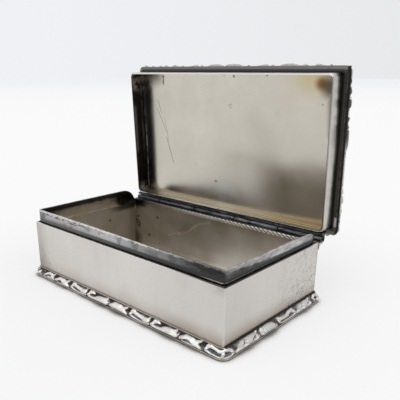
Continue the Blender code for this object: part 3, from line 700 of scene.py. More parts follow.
def cast_scrolls(on_lid):
    """Borders: worn crests over black hollows and a smooth cove towards the wall, with painted
    highlight and shade on the relief, the cove and the lid's side towards the mouth.
    """
    finish = Finish("cast_scrolls_lid" if on_lid else "cast_scrolls_base")
    x, y, _ = finish.millimetres()
    relief = finish.attribute("relief")
    facing = finish.attribute("facing")
    level = finish.attribute("level")
    stand = finish.attribute("stand")
    clouds = finish.cloud(420.0, 4.0, roughness=0.65)
    grain = clouds.rise(0.35, 0.65)
    worn = finish.blend(grain, (0.66, 0.64, 0.605), (0.76, 0.74, 0.71))
    low = finish.blend(grain, (0.36, 0.33, 0.295), (0.5, 0.465, 0.43))
    to_right = x.rise(45.3, 46.0)
    # Sides facing up are painted lighter as highlight and sides facing down darker as shade; on
    # the right the scrolls are painted darker as a dimmer reflection.
    worn = finish.coats(
        finish.blend(facing.rise(-0.65, 0.05), low, worn),
        (facing.rise(0.25, 0.85), (0.84, 0.825, 0.8)),
        (to_right * 0.5, (0.44, 0.425, 0.405)))
    flank = finish.blend(grain, (0.22, 0.205, 0.185), (0.34, 0.315, 0.29))
    raised = relief.rise(0.3, 0.68)
    worn = finish.blend(raised, flank, worn)
    slit = finish.blend(grain, (0.1, 0.096, 0.09), (0.22, 0.21, 0.195))
    # The cove is near black with tarnish and painted shade, and has painted gleams of reflection;
    # on the right it is lighter, with more gleams.
    facets = finish.streaks(320.0, 320.0, 700.0, 2.0) + to_right * 0.07
    gleam = facets.rise(0.54, 0.66) * level.between(2.2, 2.85, 0.2)
    cove = finish.coats(
        finish.blend(grain, (0.03, 0.029, 0.028), (0.06, 0.057, 0.054)),
        (to_right * (grain * 0.7 + 0.25), (0.135, 0.13, 0.13)),
        (gleam * 0.8, (0.28, 0.272, 0.266)))
    deep = finish.blend(level.rise(1.75, 2.1), slit, cove)
    colour = finish.blend(relief.rise(0.1, 0.32), deep, worn)
    crest = raised * 0.35
    if on_lid:
        # On the lid the side towards the mouth is painted as shade with tarnish, darkest by the
        # wall; the outer bumps get painted highlights, the right side is near black with a painted
        # reflection line and a tear-shaped painted highlight by the hinge, and its outer part is
        # painted light towards the hinge.
        bumps = stand.rise(1.75, 2.1) * clouds.rise(0.3, 0.6, 0.6, 1.0)
        painted_highlight_line = stand.line(1.0, 0.25) * clouds.rise(0.35, 0.6)
        dark_side = finish.blend(painted_highlight_line, (0.024, 0.023, 0.022), (0.085, 0.082, 0.08))
        lit = finish.blend(y.rise(-6.0, 2.0), (0.07, 0.067, 0.065), (0.58, 0.565, 0.55))
        dark_side = finish.blend(stand.rise(1.75, 2.0), dark_side, lit)
        drop_highlight = finish.mark(y, level, (21.6, 2.6), (24.4, 2.6), 0.6) * to_right
        shade = finish.coats(
            finish.blend(stand.rise(0.7, 1.3), (0.045, 0.042, 0.04), (0.2, 0.19, 0.185)),
            (bumps, (0.52, 0.5, 0.485)),
            (to_right, dark_side),
            (drop_highlight, (0.85, 0.81, 0.79)))
        crest = finish.either(crest, drop_highlight * 0.5)
        colour = finish.blend(level.rise(1.75, 1.95), colour, shade)
    else:
        lip = level.rise(3.08, 3.16)
        lip_colour = finish.blend(y.rise(-25.0, -24.6), (0.6, 0.56, 0.51), (0.06, 0.055, 0.05))
        # Browner and darker at the bottom of the scrolls.
        browner_low_down = level.rise(0.95, 0.62) * grain
        colour = finish.coats(colour, (lip, lip_colour), (browner_low_down * 0.5, (0.4, 0.345, 0.29)))
    roughness = relief.rise(0.1, 0.6, 0.43, 0.35)
    return finish.done(colour, roughness, clouds, 0.3, 0.03, metallic=1.0 - crest)


def dark_hinge():
    """Hinge tubes, pin and bearers: gunmetal tarnish, with lighter patches along one stretch that
    are worn bright and painted as highlight.
    """
    finish = Finish("dark_hinge_silver")
    x, _, z = finish.millimetres()
    clouds = finish.streaks(300.0, 1500.0, 1500.0, 5.0, 0.65)
    patches = finish.cloud(90.0, 2.0)
    # Lighter patches along one stretch of the hinge: worn bright, and painted as highlight.
    rubbed_and_lit = x.between(3.0, 27.0, 5.0) * clouds.rise(0.4, 0.6)
    seams = finish.either(x.line(-31.2, 0.45), x.line(-11.4, 0.45), x.line(8.6, 0.45),
                          x.line(28.0, 0.45))
    silver = z.rise(20.6, 20.2)
    colour = finish.coats(
        finish.blend(clouds.rise(0.35, 0.7), (0.036, 0.037, 0.039), (0.15, 0.152, 0.158)),
        (patches.rise(0.5, 0.66) * 0.5, (0.2, 0.202, 0.208)),
        (rubbed_and_lit * 0.55, (0.3, 0.302, 0.308)),
        (seams * 0.9, (0.008, 0.008, 0.008)),
        (silver, (0.58, 0.555, 0.52)))
    roughness = clouds.rise(0.3, 0.7, 0.56, 0.44)
    return finish.done(colour, roughness, clouds, 0.4, 0.03)


# Helpers for shapes

def smooth_step(value, low, high):
    """From 0 at low to 1 at high, level at both ends."""
    share = min(max((value - low) / (high - low), 0.0), 1.0)
    return share * share * (3 - 2 * share)


def ripple(x, y, rate, layer, size):
    """Unevenness over the plan, up to about size either way, rate in bumps per millimetre."""
    return noise.noise(Vector((x * rate, y * rate, layer))) * size


def join_rings(shape, rings, closed, material=None):
    """Faces between rings of points, and over the first and last ring."""
    count = len(rings[0])
    for number, (near, far) in enumerate(zip(rings, rings[1:])):
        for index in range(count if closed else count - 1):
            following = (index + 1) % count
            face = shape.faces.new((near[index], near[following], far[following], far[index]))
            if material:
                face.material_index = material(number)
    if closed:
        shape.faces.new(rings[0])
        shape.faces.new(rings[-1][::-1])


def put(name, shape, materials, body, sharp_angle=50):
    """A finished piece from a bmesh, turned open if it is on the lid."""
    bmesh.ops.recalc_face_normals(shape, faces=shape.faces)
    mesh = bpy.data.meshes.new(name)
    shape.to_mesh(mesh)
    shape.free()
    for material in materials:
        mesh.materials.append(material)
    mesh.shade_smooth()
    mesh.set_sharp_from_angle(angle=math.radians(sharp_angle))
    piece = bpy.data.objects.new(name, mesh)
    bpy.context.scene.collection.objects.link(piece)
    if body == "lid":
        piece.matrix_world = OPEN
    bpy.context.view_layer.update()
    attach(piece, body)
    return piece


# Borders: scrolls on a flat outer face, then a cove and a thin lip against the wall

BORDER_OUTSET = 1.4
BORDER_HEIGHT = 3.3
BORDER_GAP = 0.02
BORDER_JOINT = 0.06
BORDER_LAP = 1.4
BORDER_BEVEL = 0.1
STRIP_STEP = 0.11
STRIP_ROWS = 36
FIRST_ROW = 0.04
LAST_ROW = 0.02

# How far inside the walls' faces a corner's arc has its centre, how long the arc is along the
# backing, and how the lid's corners are drawn out towards square ones
CORNER_INSET = 0.55 * BORDER_OUTSET
CORNER_SPAN = (BORDER_OUTSET + CORNER_INSET) * math.pi / 2
LID_SQUARENESS = 0.6

# Every stroke is a row of (along, up, half width), counted from the motif's left end and from
# the border's outer edge, at the table or the lid's top. It stands off its backing as a ridge,
# and one with half widths below 0 is a slit that is cut into the others
OVAL = (((.8, 1.5, .52), (2.4, 1.85, .84), (4.8, 1.85, .84), (6.8, 1.5, .70), (8.2, 1.05, .42)),
        ((6.4, 2.0, .46), (8.0, 2.5, .38), (8.7, 3.0, .24)),
        ((1.5, .85, .25), (8.6, .82, .22)),
        ((1.8, 1.40, -.34), (3.6, 1.55, -.50), (5.6, 1.40, -.34)))
SHALLOW_OVAL = (((.8, 1.5, .52), (2.4, 1.85, .82), (5.0, 1.85, .86), (7.2, 1.45, .68),
                 (8.5, 1.0, .42)),
                ((6.8, 2.0, .46), (8.3, 2.5, .38), (8.8, 3.0, .24)),
                ((1.5, .85, .25), (8.8, .82, .22)),
                ((2.6, .98, -.16), (6.6, .98, -.18)))
LONG = (((.8, 1.5, .42), (2.6, .92, .28), (5.0, .82, .25), (7.4, .86, .28), (9.0, 1.1, .42)),
        ((.9, 1.7, .48), (1.2, 2.35, .56), (2.2, 2.5, .44)),
        ((1.4, 2.3, .50), (3.2, 2.2, .38), (5.2, 2.05, .34), (6.6, 1.9, .42)),
        ((7.1, 1.75, .62), (8.6, 1.75, .66)),
        ((8.4, 2.1, .46), (9.0, 2.5, .36), (9.4, 3.0, .24)),
        ((1.9, 1.62, -.34), (4.2, 1.42, -.44), (6.4, 1.34, -.34)))
LEAF = (((.7, 1.6, .54), (1.2, 2.3, .56), (2.6, 2.45, .42), (3.5, 2.25, .28)),
        ((1.2, 2.5, .34), (1.5, 3.0, .20)),
        ((2.4, 2.7, .28), (2.8, 3.0, .16)),
        ((1.0, 1.2, .46), (3.5, 1.25, .54), (6.0, 1.55, .78), (8.5, 1.65, .88), (10.4, 1.4, .66)),
        ((9.2, 2.0, .58), (10.3, 2.45, .40), (10.5, 3.0, .24)),
        ((10.9, 1.4, .45), (11.3, 1.9, .25)),
        ((1.7, 1.70, -.24), (3.2, 1.85, -.32), (4.6, 2.02, -.22)),
        ((7.4, 1.25, -.18), (9.2, 1.05, -.20)))
ARCH = (((-1.0, 2.0, .46), (-.7, 1.2, .46)),
        ((.3, .95, .28), (1.5, 1.85, .38), (3.1, 2.3, .42), (5.0, 2.2, .42), (6.1, 1.6, .46),
         (6.8, 1.0, .36)),
        ((2.2, .95, .26), (3.1, 1.25, .28), (4.4, 1.2, .28), (4.8, .9, .24)),
        ((5.8, 2.2, .40), (6.8, 2.6, .32), (7.2, 3.0, .22)),
        ((.4, .78, .18), (6.4, .78, .18)),
        ((1.5, 1.1, -.20), (2.6, 1.72, -.24), (4.4, 1.70, -.24), (5.4, 1.1, -.20)))
KNOB = (((-.1, 1.35, .66), (.4, 1.55, .70)), ((-1.2, .95, .30), (1.4, .9, .25)),
        ((-1.5, 2.0, .30), (-.7, 2.4, .25)))
TWO_SLITS = (((.6, 1.0, .36), (2.0, 1.50, .66), (4.2, 1.85, .90), (7.0, 1.95, .96),
              (9.8, 1.9, .90), (11.2, 1.5, .60)),
             ((10.4, 2.2, .42), (11.3, 2.8, .26)),
             ((.4, .8, .20), (11.4, .82, .24)),
             ((2.2, .9, -.34), (3.6, 1.45, -.42), (5.2, 2.3, -.34)),
             ((6.4, 1.05, -.36), (8.2, 1.5, -.54), (10.0, 2.0, -.36)))
PLAIN_LEAF = (((.8, 1.5, .66), (2.0, 1.9, .90), (4.5, 1.95, .98), (6.8, 1.75, .90),
               (8.4, 1.25, .52)),
              ((.8, 2.1, .36), (1.3, 2.6, .28)),
              ((.8, .85, .25), (8.4, .85, .25)),
              ((2.0, 2.5, -.16), (1.5, 1.5, -.14)))
TWO_KNOBS = (((.9, 2.3, .52), (.8, 1.6, .46), (1.2, 1.2, .36), (2.4, .92, .28), (5.0, .82, .25),
              (8.6, .86, .28), (9.9, 1.2, .38), (9.9, 1.9, .46)),
             ((1.4, 2.2, .44), (3.4, 1.95, .34), (5.4, 1.95, .34), (7.0, 2.35, .48),
              (8.4, 2.45, .50), (9.6, 2.0, .46)),
             ((8.8, 2.5, .36), (9.4, 3.0, .22)),
             ((1.9, 1.50, -.34), (5.0, 1.38, -.42), (8.4, 1.52, -.42)))
WRAP = (((1.2, 2.0, .52), (1.0, 1.4, .40), (2.6, .94, .28), (5.0, .85, .26), (7.5, .85, .26),
         (9.4, .92, .30), (10.4, 1.3, .38), (10.3, 1.9, .42)),
        ((1.2, 2.2, .50), (2.4, 2.5, .44), (3.8, 2.35, .36), (5.2, 2.2, .36), (6.4, 2.25, .38),
         (7.6, 2.55, .44), (9.0, 2.4, .44), (10.2, 2.0, .44)),
        ((1.2, 2.4, .36), (1.6, 3.0, .22)),
        ((7.9, 2.6, .32), (8.3, 3.0, .20)),
        ((6.5, 1.15, .42), (6.9, 2.0, .46)),
        ((2.1, 1.62, -.32), (4.4, 1.50, -.38), (5.7, 1.46, -.24)),
        ((7.7, 1.5, -.26), (9.2, 1.6, -.30)))
CURL = (((1.2, 1.1, .38), (.8, 1.8, .42), (1.8, 2.5, .42), (3.4, 2.3, .44), (3.9, 1.5, .42),
         (2.6, 1.0, .28)), ((-.4, 1.1, .25), (.4, .95, .20)), ((3.9, 2.2, .30), (4.4, 2.8, .14)),
        ((1.7, 1.75, -.30), (2.9, 1.75, -.34)))

# A run of motifs is rows of (motif, where its left end is, scale)
LONG_RUN = ((ARCH, -40.4, 1.0), (OVAL, -32.8, 1.0), (LONG, -23.3, 1.0), (LEAF, -13.4, 1.0),
            (SHALLOW_OVAL, -1.8, 1.02), (LONG, 7.9, 1.02), (LEAF, 18.0, 1.01), (OVAL, 29.7, 1.0))
SHORT_RUN = ((TWO_SLITS, -21.9, 1.0), (PLAIN_LEAF, -9.6, 1.0), (TWO_KNOBS, -.2, 1.0),
             (TWO_SLITS, 10.4, .79))
FRONT_CORNER = ((OVAL, 29.7, 1.0), (WRAP, 39.0, 1.0))
KNOB_FROM_END = 2.9
LONG_STOP = (-40.4, 39.2)
SHORT_STOP = (-21.7, 20.9)

# How strokes stand out, and where a border's cove, shelf and lip begin above its outer edge
RIDGE_HEIGHT = 1.2
RIDGE_LIFT = 0.12
STROKE_LIFT = 1.09
STROKE_DROP = 0.06
SLIT_DEPTH = 4
FULL_RELIEF = 0.55
COVE_START = 1.95
LIP_START = 3.10
LIP_OUTSET = 0.52
COVE_END = 0.42
LID_SHELF = 1.95
LID_COVE_END = 0.28
LID_BACK_REACH = 1.45
SHELF_START = COVE_START - 0.35
SCROLL_TOP = COVE_START + 0.1
SOFT_STEP = 0.3
SOFTEN_PASSES = 2
STROKE_REACH = 1
HIDDEN_RELIEF = 0.6
CAST_WAVE = 0.03
CAST_WAVE_RATE = 1.7
CAST_WAVE_LAYER = 7.0


def backing(up, on_lid):
    """How far the bare backing stands out from the wall at a height."""
    outermost, innermost = (LID_SHELF, LID_COVE_END) if on_lid else (BORDER_OUTSET, COVE_END)
    share = np.clip((up - COVE_START) / (LIP_START - COVE_START), 0, 1)
    stand = outermost - (outermost - innermost) * np.sqrt(1 - (1 - share) ** 2)
    if on_lid:
        step = np.clip((up - SHELF_START) / SOFT_STEP, 0, 1)
        flat = BORDER_OUTSET + (LID_SHELF - BORDER_OUTSET) * step * step * (3 - 2 * step)
        return np.where(up < COVE_START, flat, stand)
    return np.where(up > LIP_START, LIP_OUTSET, stand)


def ridge(along, up, stroke):
    """Height of one stroke over a grid of places: round across, and 0 away from it."""
    best = np.zeros_like(along)
    for (s0, z0, r0), (s1, z1, r1) in zip(stroke, stroke[1:]):
        ds, dz = s1 - s0, z1 - z0
        span = ds * ds + dz * dz
        share = np.clip(((along - s0) * ds + (up - z0) * dz) / span, 0, 1)
        away = np.hypot(along - s0 - share * ds, up - z0 - share * dz)
        radius = r0 + (r1 - r0) * share
        inside = np.clip(1 - (away / radius) ** 2, 0, None)
        height = np.sqrt(inside) * radius * RIDGE_HEIGHT + RIDGE_LIFT * (inside > 0)
        best = np.maximum(best, height)
    return best


def soften(grid, passes):
    """A grid with each place drawn towards its neighbours."""
    for _ in range(passes):
        padded = np.pad(grid, 1, mode="edge")
        grid = (padded[:-2, 1:-1] + padded[2:, 1:-1] + padded[1:-1, :-2] + padded[1:-1, 2:]
                + 2 * grid) / 6
    return grid


def ring_point(side, along, outset, squareness):
    """A plan point of the ring round the box, outset from the walls, on one side.

    Past the side's end the point goes round the corner in an arc about one centre.
    """
    is_long = side % 2 == 0
    half = HALF_LENGTH if is_long else HALF_DEPTH
    away = HALF_DEPTH if is_long else HALF_LENGTH
    turn = half - CORNER_INSET
    beyond = max(along - turn, -along - turn)
    if beyond > 0:
        angle = min(beyond / CORNER_SPAN, 1.0) * math.pi / 2
        radius = outset + CORNER_INSET
        x = turn + radius * math.sin(angle) ** squareness
        y = -away + CORNER_INSET - radius * max(math.cos(angle), 0.0) ** squareness
        y += max(beyond - CORNER_SPAN, 0.0)
        x = math.copysign(x, along)
    else:
        x, y = along, -away - outset
    if outset < -CORNER_INSET:
        limit = half + outset
        x, y = min(max(x, -limit), limit), max(y, -away - outset)
    turned = Matrix.Rotation(side * math.pi / 2, 3, "Z") @ Vector((x, y, 0.0))
    return turned.x, turned.y


def scroll_heights(along, up, motifs, on_lid):
    """How far the scrolls stand off the backing over a grid of places."""
    height = np.zeros_like(along)
    for motif, place, scale in motifs:
        for stroke in motif:
            moved = tuple((s * scale + place, z * STROKE_LIFT - STROKE_DROP, abs(r))
                          for s, z, r in stroke)
            reach = [s for s, _, _ in moved]
            if max(reach) < along.min() - STROKE_REACH or min(reach) > along.max() + STROKE_REACH:
                continue
            if stroke[0][2] > 0:
                height = np.maximum(height, ridge(along, up, moved))
            else:
                cut = ridge(along, up, moved)
                height = np.where(cut > 0, np.maximum(height - SLIT_DEPTH * cut, 0), height)
    if on_lid:
        height = height * np.clip((SCROLL_TOP - up) / SOFT_STEP, 0, 1)
    return soften(height, SOFTEN_PASSES)


def border_piece(name, node, side, start, end, motifs, on_lid):
    """A length of border: backing, cove and the scrolls that stand on it."""
    columns = max(int((end - start) / STRIP_STEP), 2)
    along = np.linspace(start, end, columns)
    foot = 0.0 if on_lid else FLOOR_TOP
    up = np.linspace(foot + FIRST_ROW, BORDER_HEIGHT - LAST_ROW, STRIP_ROWS)
    height = scroll_heights(*np.meshgrid(along, up, indexing="ij"), motifs, on_lid)
    bare = backing(up, on_lid)
    shape = bmesh.new()
    layers = {key: shape.verts.layers.float.new(key)
              for key in ("relief", "level", "stand", "facing")}
    sheet_face = LID_TOP - LID_SHEET_UNDER - LID_SHEET_THICKNESS - LID_SHEET_GAP
    under = [(BORDER_GAP, FLOOR_TOP)]
    if on_lid:
        under = [(BORDER_GAP, sheet_face), (-BORDER_LAP, sheet_face), (0.0, 0.0)]
    under.append((BORDER_OUTSET - BORDER_BEVEL, foot))
    rings = []
    for column, s in enumerate(along):
        section = [(outset, rise, HIDDEN_RELIEF) for outset, rise in under]
        for row, z in enumerate(up):
            place = Vector((s, z, side * CAST_WAVE_LAYER)) * CAST_WAVE_RATE
            wave = noise.noise(place) * CAST_WAVE
            section.append((bare[row] + height[column, row] + wave, z,
                            min(height[column, row] / FULL_RELIEF, 1.0)))
        section.append((BORDER_GAP, BORDER_HEIGHT, 0.0))
        ring = []
        for outset, rise, relief in section:
            x, y = ring_point(side, s, outset, LID_SQUARENESS if on_lid else 1.0)
            if on_lid and y > HALF_DEPTH:
                y = HALF_DEPTH + (y - HALF_DEPTH) * LID_BACK_REACH
            z = LID_TOP - rise if on_lid else rise
            vert = shape.verts.new((x * MM, y * MM, z * MM))
            for key, value in (("relief", relief), ("level", rise), ("stand", outset)):
                vert[layers[key]] = value
            ring.append(vert)
        rings.append(ring)
    join_rings(shape, rings, closed=True)
    bmesh.ops.recalc_face_normals(shape, faces=shape.faces)
    shape.normal_update()
    # How far each point faces up, or towards the mouth on the lid; the scrolls' finish paints
    # highlight and shade with it.
    for vert in shape.verts:
        vert[layers["facing"]] = -vert.normal.z if on_lid else vert.normal.z
    piece = put(name, shape, [LID_SCROLLS if on_lid else BASE_SCROLLS],
                "lid" if on_lid else "body", sharp_angle=60)
    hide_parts(node)


def borders(on_lid):
    """Four strips and the four corners that follow them, each on its own node's place."""
    owner = "lid" if on_lid else "base"
    for side in range(4):
        is_long = side % 2 == 0
        start, end = LONG_STOP if is_long else SHORT_STOP
        motifs = LONG_RUN if is_long else SHORT_RUN
        border_piece(f"{owner}_scrolls_{SIDE_NAMES[side]}", f"{owner}_border_{SIDE_NAMES[side]}",
                     side, start, end, motifs, on_lid)
        half = HALF_LENGTH if is_long else HALF_DEPTH
        next_half = HALF_DEPTH if is_long else HALF_LENGTH
        next_start = (SHORT_STOP if is_long else LONG_STOP)[0]
        stop = half - CORNER_INSET + CORNER_SPAN + next_half - CORNER_INSET + next_start
        motifs = FRONT_CORNER
        if not is_long:
            motifs = ((CURL, end, 1.0), (KNOB, stop - KNOB_FROM_END, 1.0))
        border_piece(f"{owner}_scrolls_{CORNER_NAMES[side]}",
                     f"{owner}_border_{CORNER_NAMES[side]}",
                     side, end + BORDER_JOINT, stop - BORDER_JOINT, motifs, on_lid)


# Walls: how finely they are divided, how uneven they are and how their rims are rounded. A
# ripple is (bumps per millimetre, layer of the noise, size)

LONG_STEPS = 44
SHORT_STEPS = 24
CORNER_STEPS = 6
WALL_ROWS = 12
WALL_RIPPLE = (0.06, 3.0, 0.05)
WALL_RIPPLE_UP = 0.09
WALL_RIPPLE_FADE = 3.0
RIM_SOFT = SHEET * 0.3
RIM_LIFT = RIM_SOFT * 0.3
RIM_TURN = 0.09


def rounded_plan(half_x, half_y, radius):
    """Points round a rounded rectangle, evenly along its sides."""
    points = []
    corners = ((1, -1, -90), (1, 1, 0), (-1, 1, 90), (-1, -1, 180))
    for number, (sx, sy, turn) in enumerate(corners):
        centre = (sx * (half_x - radius), sy * (half_y - radius))
        for part in range(CORNER_STEPS + 1):
            angle = math.radians(turn + 90 / CORNER_STEPS * part)
            points.append((centre[0] + radius * math.cos(angle),
                           centre[1] + radius * math.sin(angle)))
        nx, ny, next_turn = corners[(number + 1) % 4]
        start = points[-1]
        stop = (nx * (half_x - radius) + radius * math.cos(math.radians(next_turn)),
                ny * (half_y - radius) + radius * math.sin(math.radians(next_turn)))
        count = LONG_STEPS if number % 2 else SHORT_STEPS
        for part in range(1, count):
            points.append((start[0] + (stop[0] - start[0]) * part / count,
                           start[1] + (stop[1] - start[1]) * part / count))
    return points


def sheet_bulge(x, y, z, low, high):
    """A little unevenness of a hammered wall, square to it and none at its edges."""
    rate, layer, size = WALL_RIPPLE
    bulge = ripple(x, y, rate, z * WALL_RIPPLE_UP + layer, size)
    bulge *= min(max((high - z) / WALL_RIPPLE_FADE, 0.0), 1.0)
    bulge *= min(max((z - low) / WALL_RIPPLE_FADE, 0.0), 1.0)
    if abs(x) / HALF_LENGTH > abs(y) / HALF_DEPTH:
        return math.copysign(bulge, x), 0.0
    return 0.0, math.copysign(bulge, y)


def shell(name, nodes, low, high, radius, inner_radius, materials, body):
    """Four walls as one soldered shell with slightly uneven sheet and rounded rims."""
    shape = bmesh.new()
    outer = rounded_plan(HALF_LENGTH, HALF_DEPTH, radius)
    inner = rounded_plan(HALF_LENGTH - SHEET, HALF_DEPTH - SHEET, inner_radius)
    heights = [low + RIM_SOFT]
    heights += [low + (high - low) * row / WALL_ROWS for row in range(1, WALL_ROWS)]
    heights.append(high - RIM_SOFT)
    outside = [(0.5, low), (RIM_TURN, low + RIM_LIFT)] + [(0.0, z) for z in heights]
    outside.append((RIM_TURN, high - RIM_LIFT))
    inside = [(0.5, high), (1 - RIM_TURN, high - RIM_LIFT)]
    inside += [(1.0, z) for z in reversed(heights)] + [(1 - RIM_TURN, low + RIM_LIFT)]
    loops = []
    for share, z in outside + inside:
        loop = []
        for (ox, oy), (ix, iy) in zip(outer, inner):
            x, y = ox + (ix - ox) * share, oy + (iy - oy) * share
            dx, dy = sheet_bulge(x, y, z, low, high)
            loop.append(shape.verts.new(((x + dx) * MM, (y + dy) * MM, z * MM)))
        loops.append(loop + loop[:1])
    join_rings(shape, loops + loops[:1], closed=False,
               material=lambda number: 0 if number < len(outside) else 1)
    piece = put(name, shape, materials, body)
    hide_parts(*nodes)


# Lid's top sheet: where it swells, dishes and folds, from and to, across or along the lid

SWELL_ACROSS = (-24.0, 2.0)
DISH_ACROSS = (3.5, 23.5)
SWELL_END_ALONG = (8.0, 26.0)
FOLD_UP_ACROSS = (-10.0, 10.0)
FOLD_DOWN_ACROSS = (12.0, 24.0)
FOLD_ALONG = (24.0, 34.0)
LID_RIPPLE = (0.07, 5.0, 0.025)
CROWN_POWER = 4
DISH_POWER = 1.25
FADE_POWER = 12
LID_ROWS = 51
LID_COLUMNS = 91


def lid_sheet_rise(x, y):
    """How far the lid's top sheet stands above its edges: crowned, and dished by the hinge."""
    crown = (1 - (x / HALF_LENGTH) ** CROWN_POWER) * (1 - (y / HALF_DEPTH) ** CROWN_POWER)
    crown *= LID_CROWN
    dish_start, dish_end = DISH_ACROSS
    dent = min(max((y - dish_start) / (dish_end - dish_start), 0.0), 1.0) ** DISH_POWER
    swell = LID_SWELL * smooth_step(y, *SWELL_ACROSS) - LID_DISH * dent * dent * (3 - 2 * dent)
    fade = 1 - (x / HALF_LENGTH) ** FADE_POWER
    swell *= (1 - smooth_step(x, *SWELL_END_ALONG)) * fade
    fold = smooth_step(y, *FOLD_UP_ACROSS) - smooth_step(y, *FOLD_DOWN_ACROSS)
    fold *= smooth_step(x, *FOLD_ALONG) * LID_FOLD * fade
    return crown + swell + fold + ripple(x, y, *LID_RIPPLE)


def lid_sheet():
    """The lid's top sheet with rounded corners. Its upper face has no dish."""
    shape = bmesh.new()
    half_x, half_y = HALF_LENGTH - LID_SHEET_GAP, HALF_DEPTH - LID_SHEET_GAP
    radius = LID_SHEET_CORNER
    rings = []
    for face, height in ((0, 0.0), (1, LID_SHEET_THICKNESS)):
        for row in range(LID_ROWS):
            ring = []
            for column in range(LID_COLUMNS):
                x = -half_x + 2 * half_x * column / (LID_COLUMNS - 1)
                y = -half_y + 2 * half_y * row / (LID_ROWS - 1)
                px, py = abs(x) - (half_x - radius), abs(y) - (half_y - radius)
                away = math.hypot(px, py)
                if px > 0 and py > 0 and away > radius:
                    x = math.copysign(half_x - radius + px * radius / away, x)
                    y = math.copysign(half_y - radius + py * radius / away, y)
                rise = lid_sheet_rise(x, y)
                z = LID_SHEET_UNDER + height + (max(rise, 0.0) if face else rise)
                ring.append(shape.verts.new((x * MM, y * MM, z * MM)))
            rings.append(ring)
    under, over = rings[:LID_ROWS], rings[LID_ROWS:]
    join_rings(shape, under, closed=False)
    join_rings(shape, over, closed=False, material=lambda number: 1)
    for edge in (0, -1):
        join_rings(shape, [under[edge], over[edge]], closed=False)
    for edge in (0, -1):
        sides = [[ring[edge] for ring in face] for face in (under, over)]
        join_rings(shape, sides, closed=False)
    piece = put("lid_sheet", shape, [lid_mirror(), lid_top()], "lid")
    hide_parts("lid_plate")


# Bezel: past BEZEL_TURN its ends follow the lid's rounded corners

BEZEL_INSET = 0.9
BEZEL_SHEET = 0.7
BEZEL_FOOT = 19.5
BEZEL_TURN = 22.4
BEZEL_TURN_RADIUS = 1.7
BEZEL_CORNER = 1.3
BEZEL_STEPS = 24
BEZEL_CORNER_STEPS = 8

# Its section: (how far in, height above the foot) at the foot's outer and inner edges, and
# (how far in, depth below the rim) along the rim
BEZEL_FOOT_OUT = ((0.12, 0.0), (0.0, 0.12))
BEZEL_FOOT_IN = ((BEZEL_SHEET, 0.12), (BEZEL_SHEET - 0.12, 0.0))
BEZEL_RIM = ((0.0, 0.14), (0.05, 0.05), (0.20, 0.0), (BEZEL_SHEET - 0.20, 0.0),
             (BEZEL_SHEET - 0.05, 0.05), (BEZEL_SHEET, 0.14))
BEZEL_RIPPLES = ((0.09, 1.0, 0.06), (0.5, 2.0, 0.025))

# Its upper edge: places along each side with the height there, and how its ends fall
BEZEL_FRONT = ((-44.0, 25.6), (-20.0, 25.5), (20.0, 25.1), (44.0, 25.2))
BEZEL_RIGHT = ((-24.0, 25.2), (-10.0, 24.95), (12.0, 24.9), (20.7, 24.55))
BEZEL_RIGHT_END = ((20.7, 24.55), (22.2, 24.15), (23.2, 23.5), (23.9, 22.5), (24.3, 21.2),
                   (24.6, 20.2))
BEZEL_LEFT = ((-24.0, 25.6), (17.0, 25.65))
BEZEL_LEFT_END = ((17.4, 25.62), (18.6, 25.45), (19.8, 25.05), (20.8, 24.5), (21.7, 23.7),
                  (22.4, 22.85), (23.1, 21.7), (23.6, 20.7), (24.0, 19.9))


def side_path(side, end, x_face, corner):
    """One side of the bezel from its corner to its end by the hinge: (x, y, top, outward)."""
    ys, tops = zip(*side)
    path = []
    last = end[0][0]
    for part in range(1, BEZEL_STEPS):
        y = corner + (last - corner) * part / BEZEL_STEPS
        path.append((x_face, y, float(np.interp(y, ys, tops)), (math.copysign(1, x_face), 0)))
    for along, top in end:
        turn = max(along - BEZEL_TURN, 0.0) / BEZEL_TURN_RADIUS
        y = min(along, BEZEL_TURN) + BEZEL_TURN_RADIUS * math.sin(turn)
        inward = BEZEL_TURN_RADIUS * (1 - math.cos(turn))
        path.append((math.copysign(abs(x_face) - inward, x_face), y, top,
                     (math.copysign(math.cos(turn), x_face), math.sin(turn))))
    return path


def bezel_path():
    """The whole strip from its left end round the front to its right end."""
    x_face = HALF_LENGTH - BEZEL_INSET
    front = -HALF_DEPTH + BEZEL_INSET
    radius = BEZEL_CORNER
    xs, tops = zip(*BEZEL_FRONT)
    left = side_path(BEZEL_LEFT, BEZEL_LEFT_END, -x_face, front + radius)
    right = side_path(BEZEL_RIGHT, BEZEL_RIGHT_END, x_face, front + radius)
    middle = []
    for centre, turn, top in ((-x_face + radius, 180, BEZEL_FRONT[0][1]),
                              (x_face - radius, 270, BEZEL_FRONT[-1][1])):
        for part in range(BEZEL_CORNER_STEPS + 1):
            angle = math.radians(turn + 90 * part / BEZEL_CORNER_STEPS)
            middle.append((centre + radius * math.cos(angle),
                           front + radius + radius * math.sin(angle), top,
                           (math.cos(angle), math.sin(angle))))
        if turn == 180:
            for part in range(1, 2 * BEZEL_STEPS):
                x = (-x_face + radius) * (1 - part / BEZEL_STEPS)
                middle.append((x, front, float(np.interp(x, xs, tops)), (0, -1)))
    return left[::-1] + middle + right


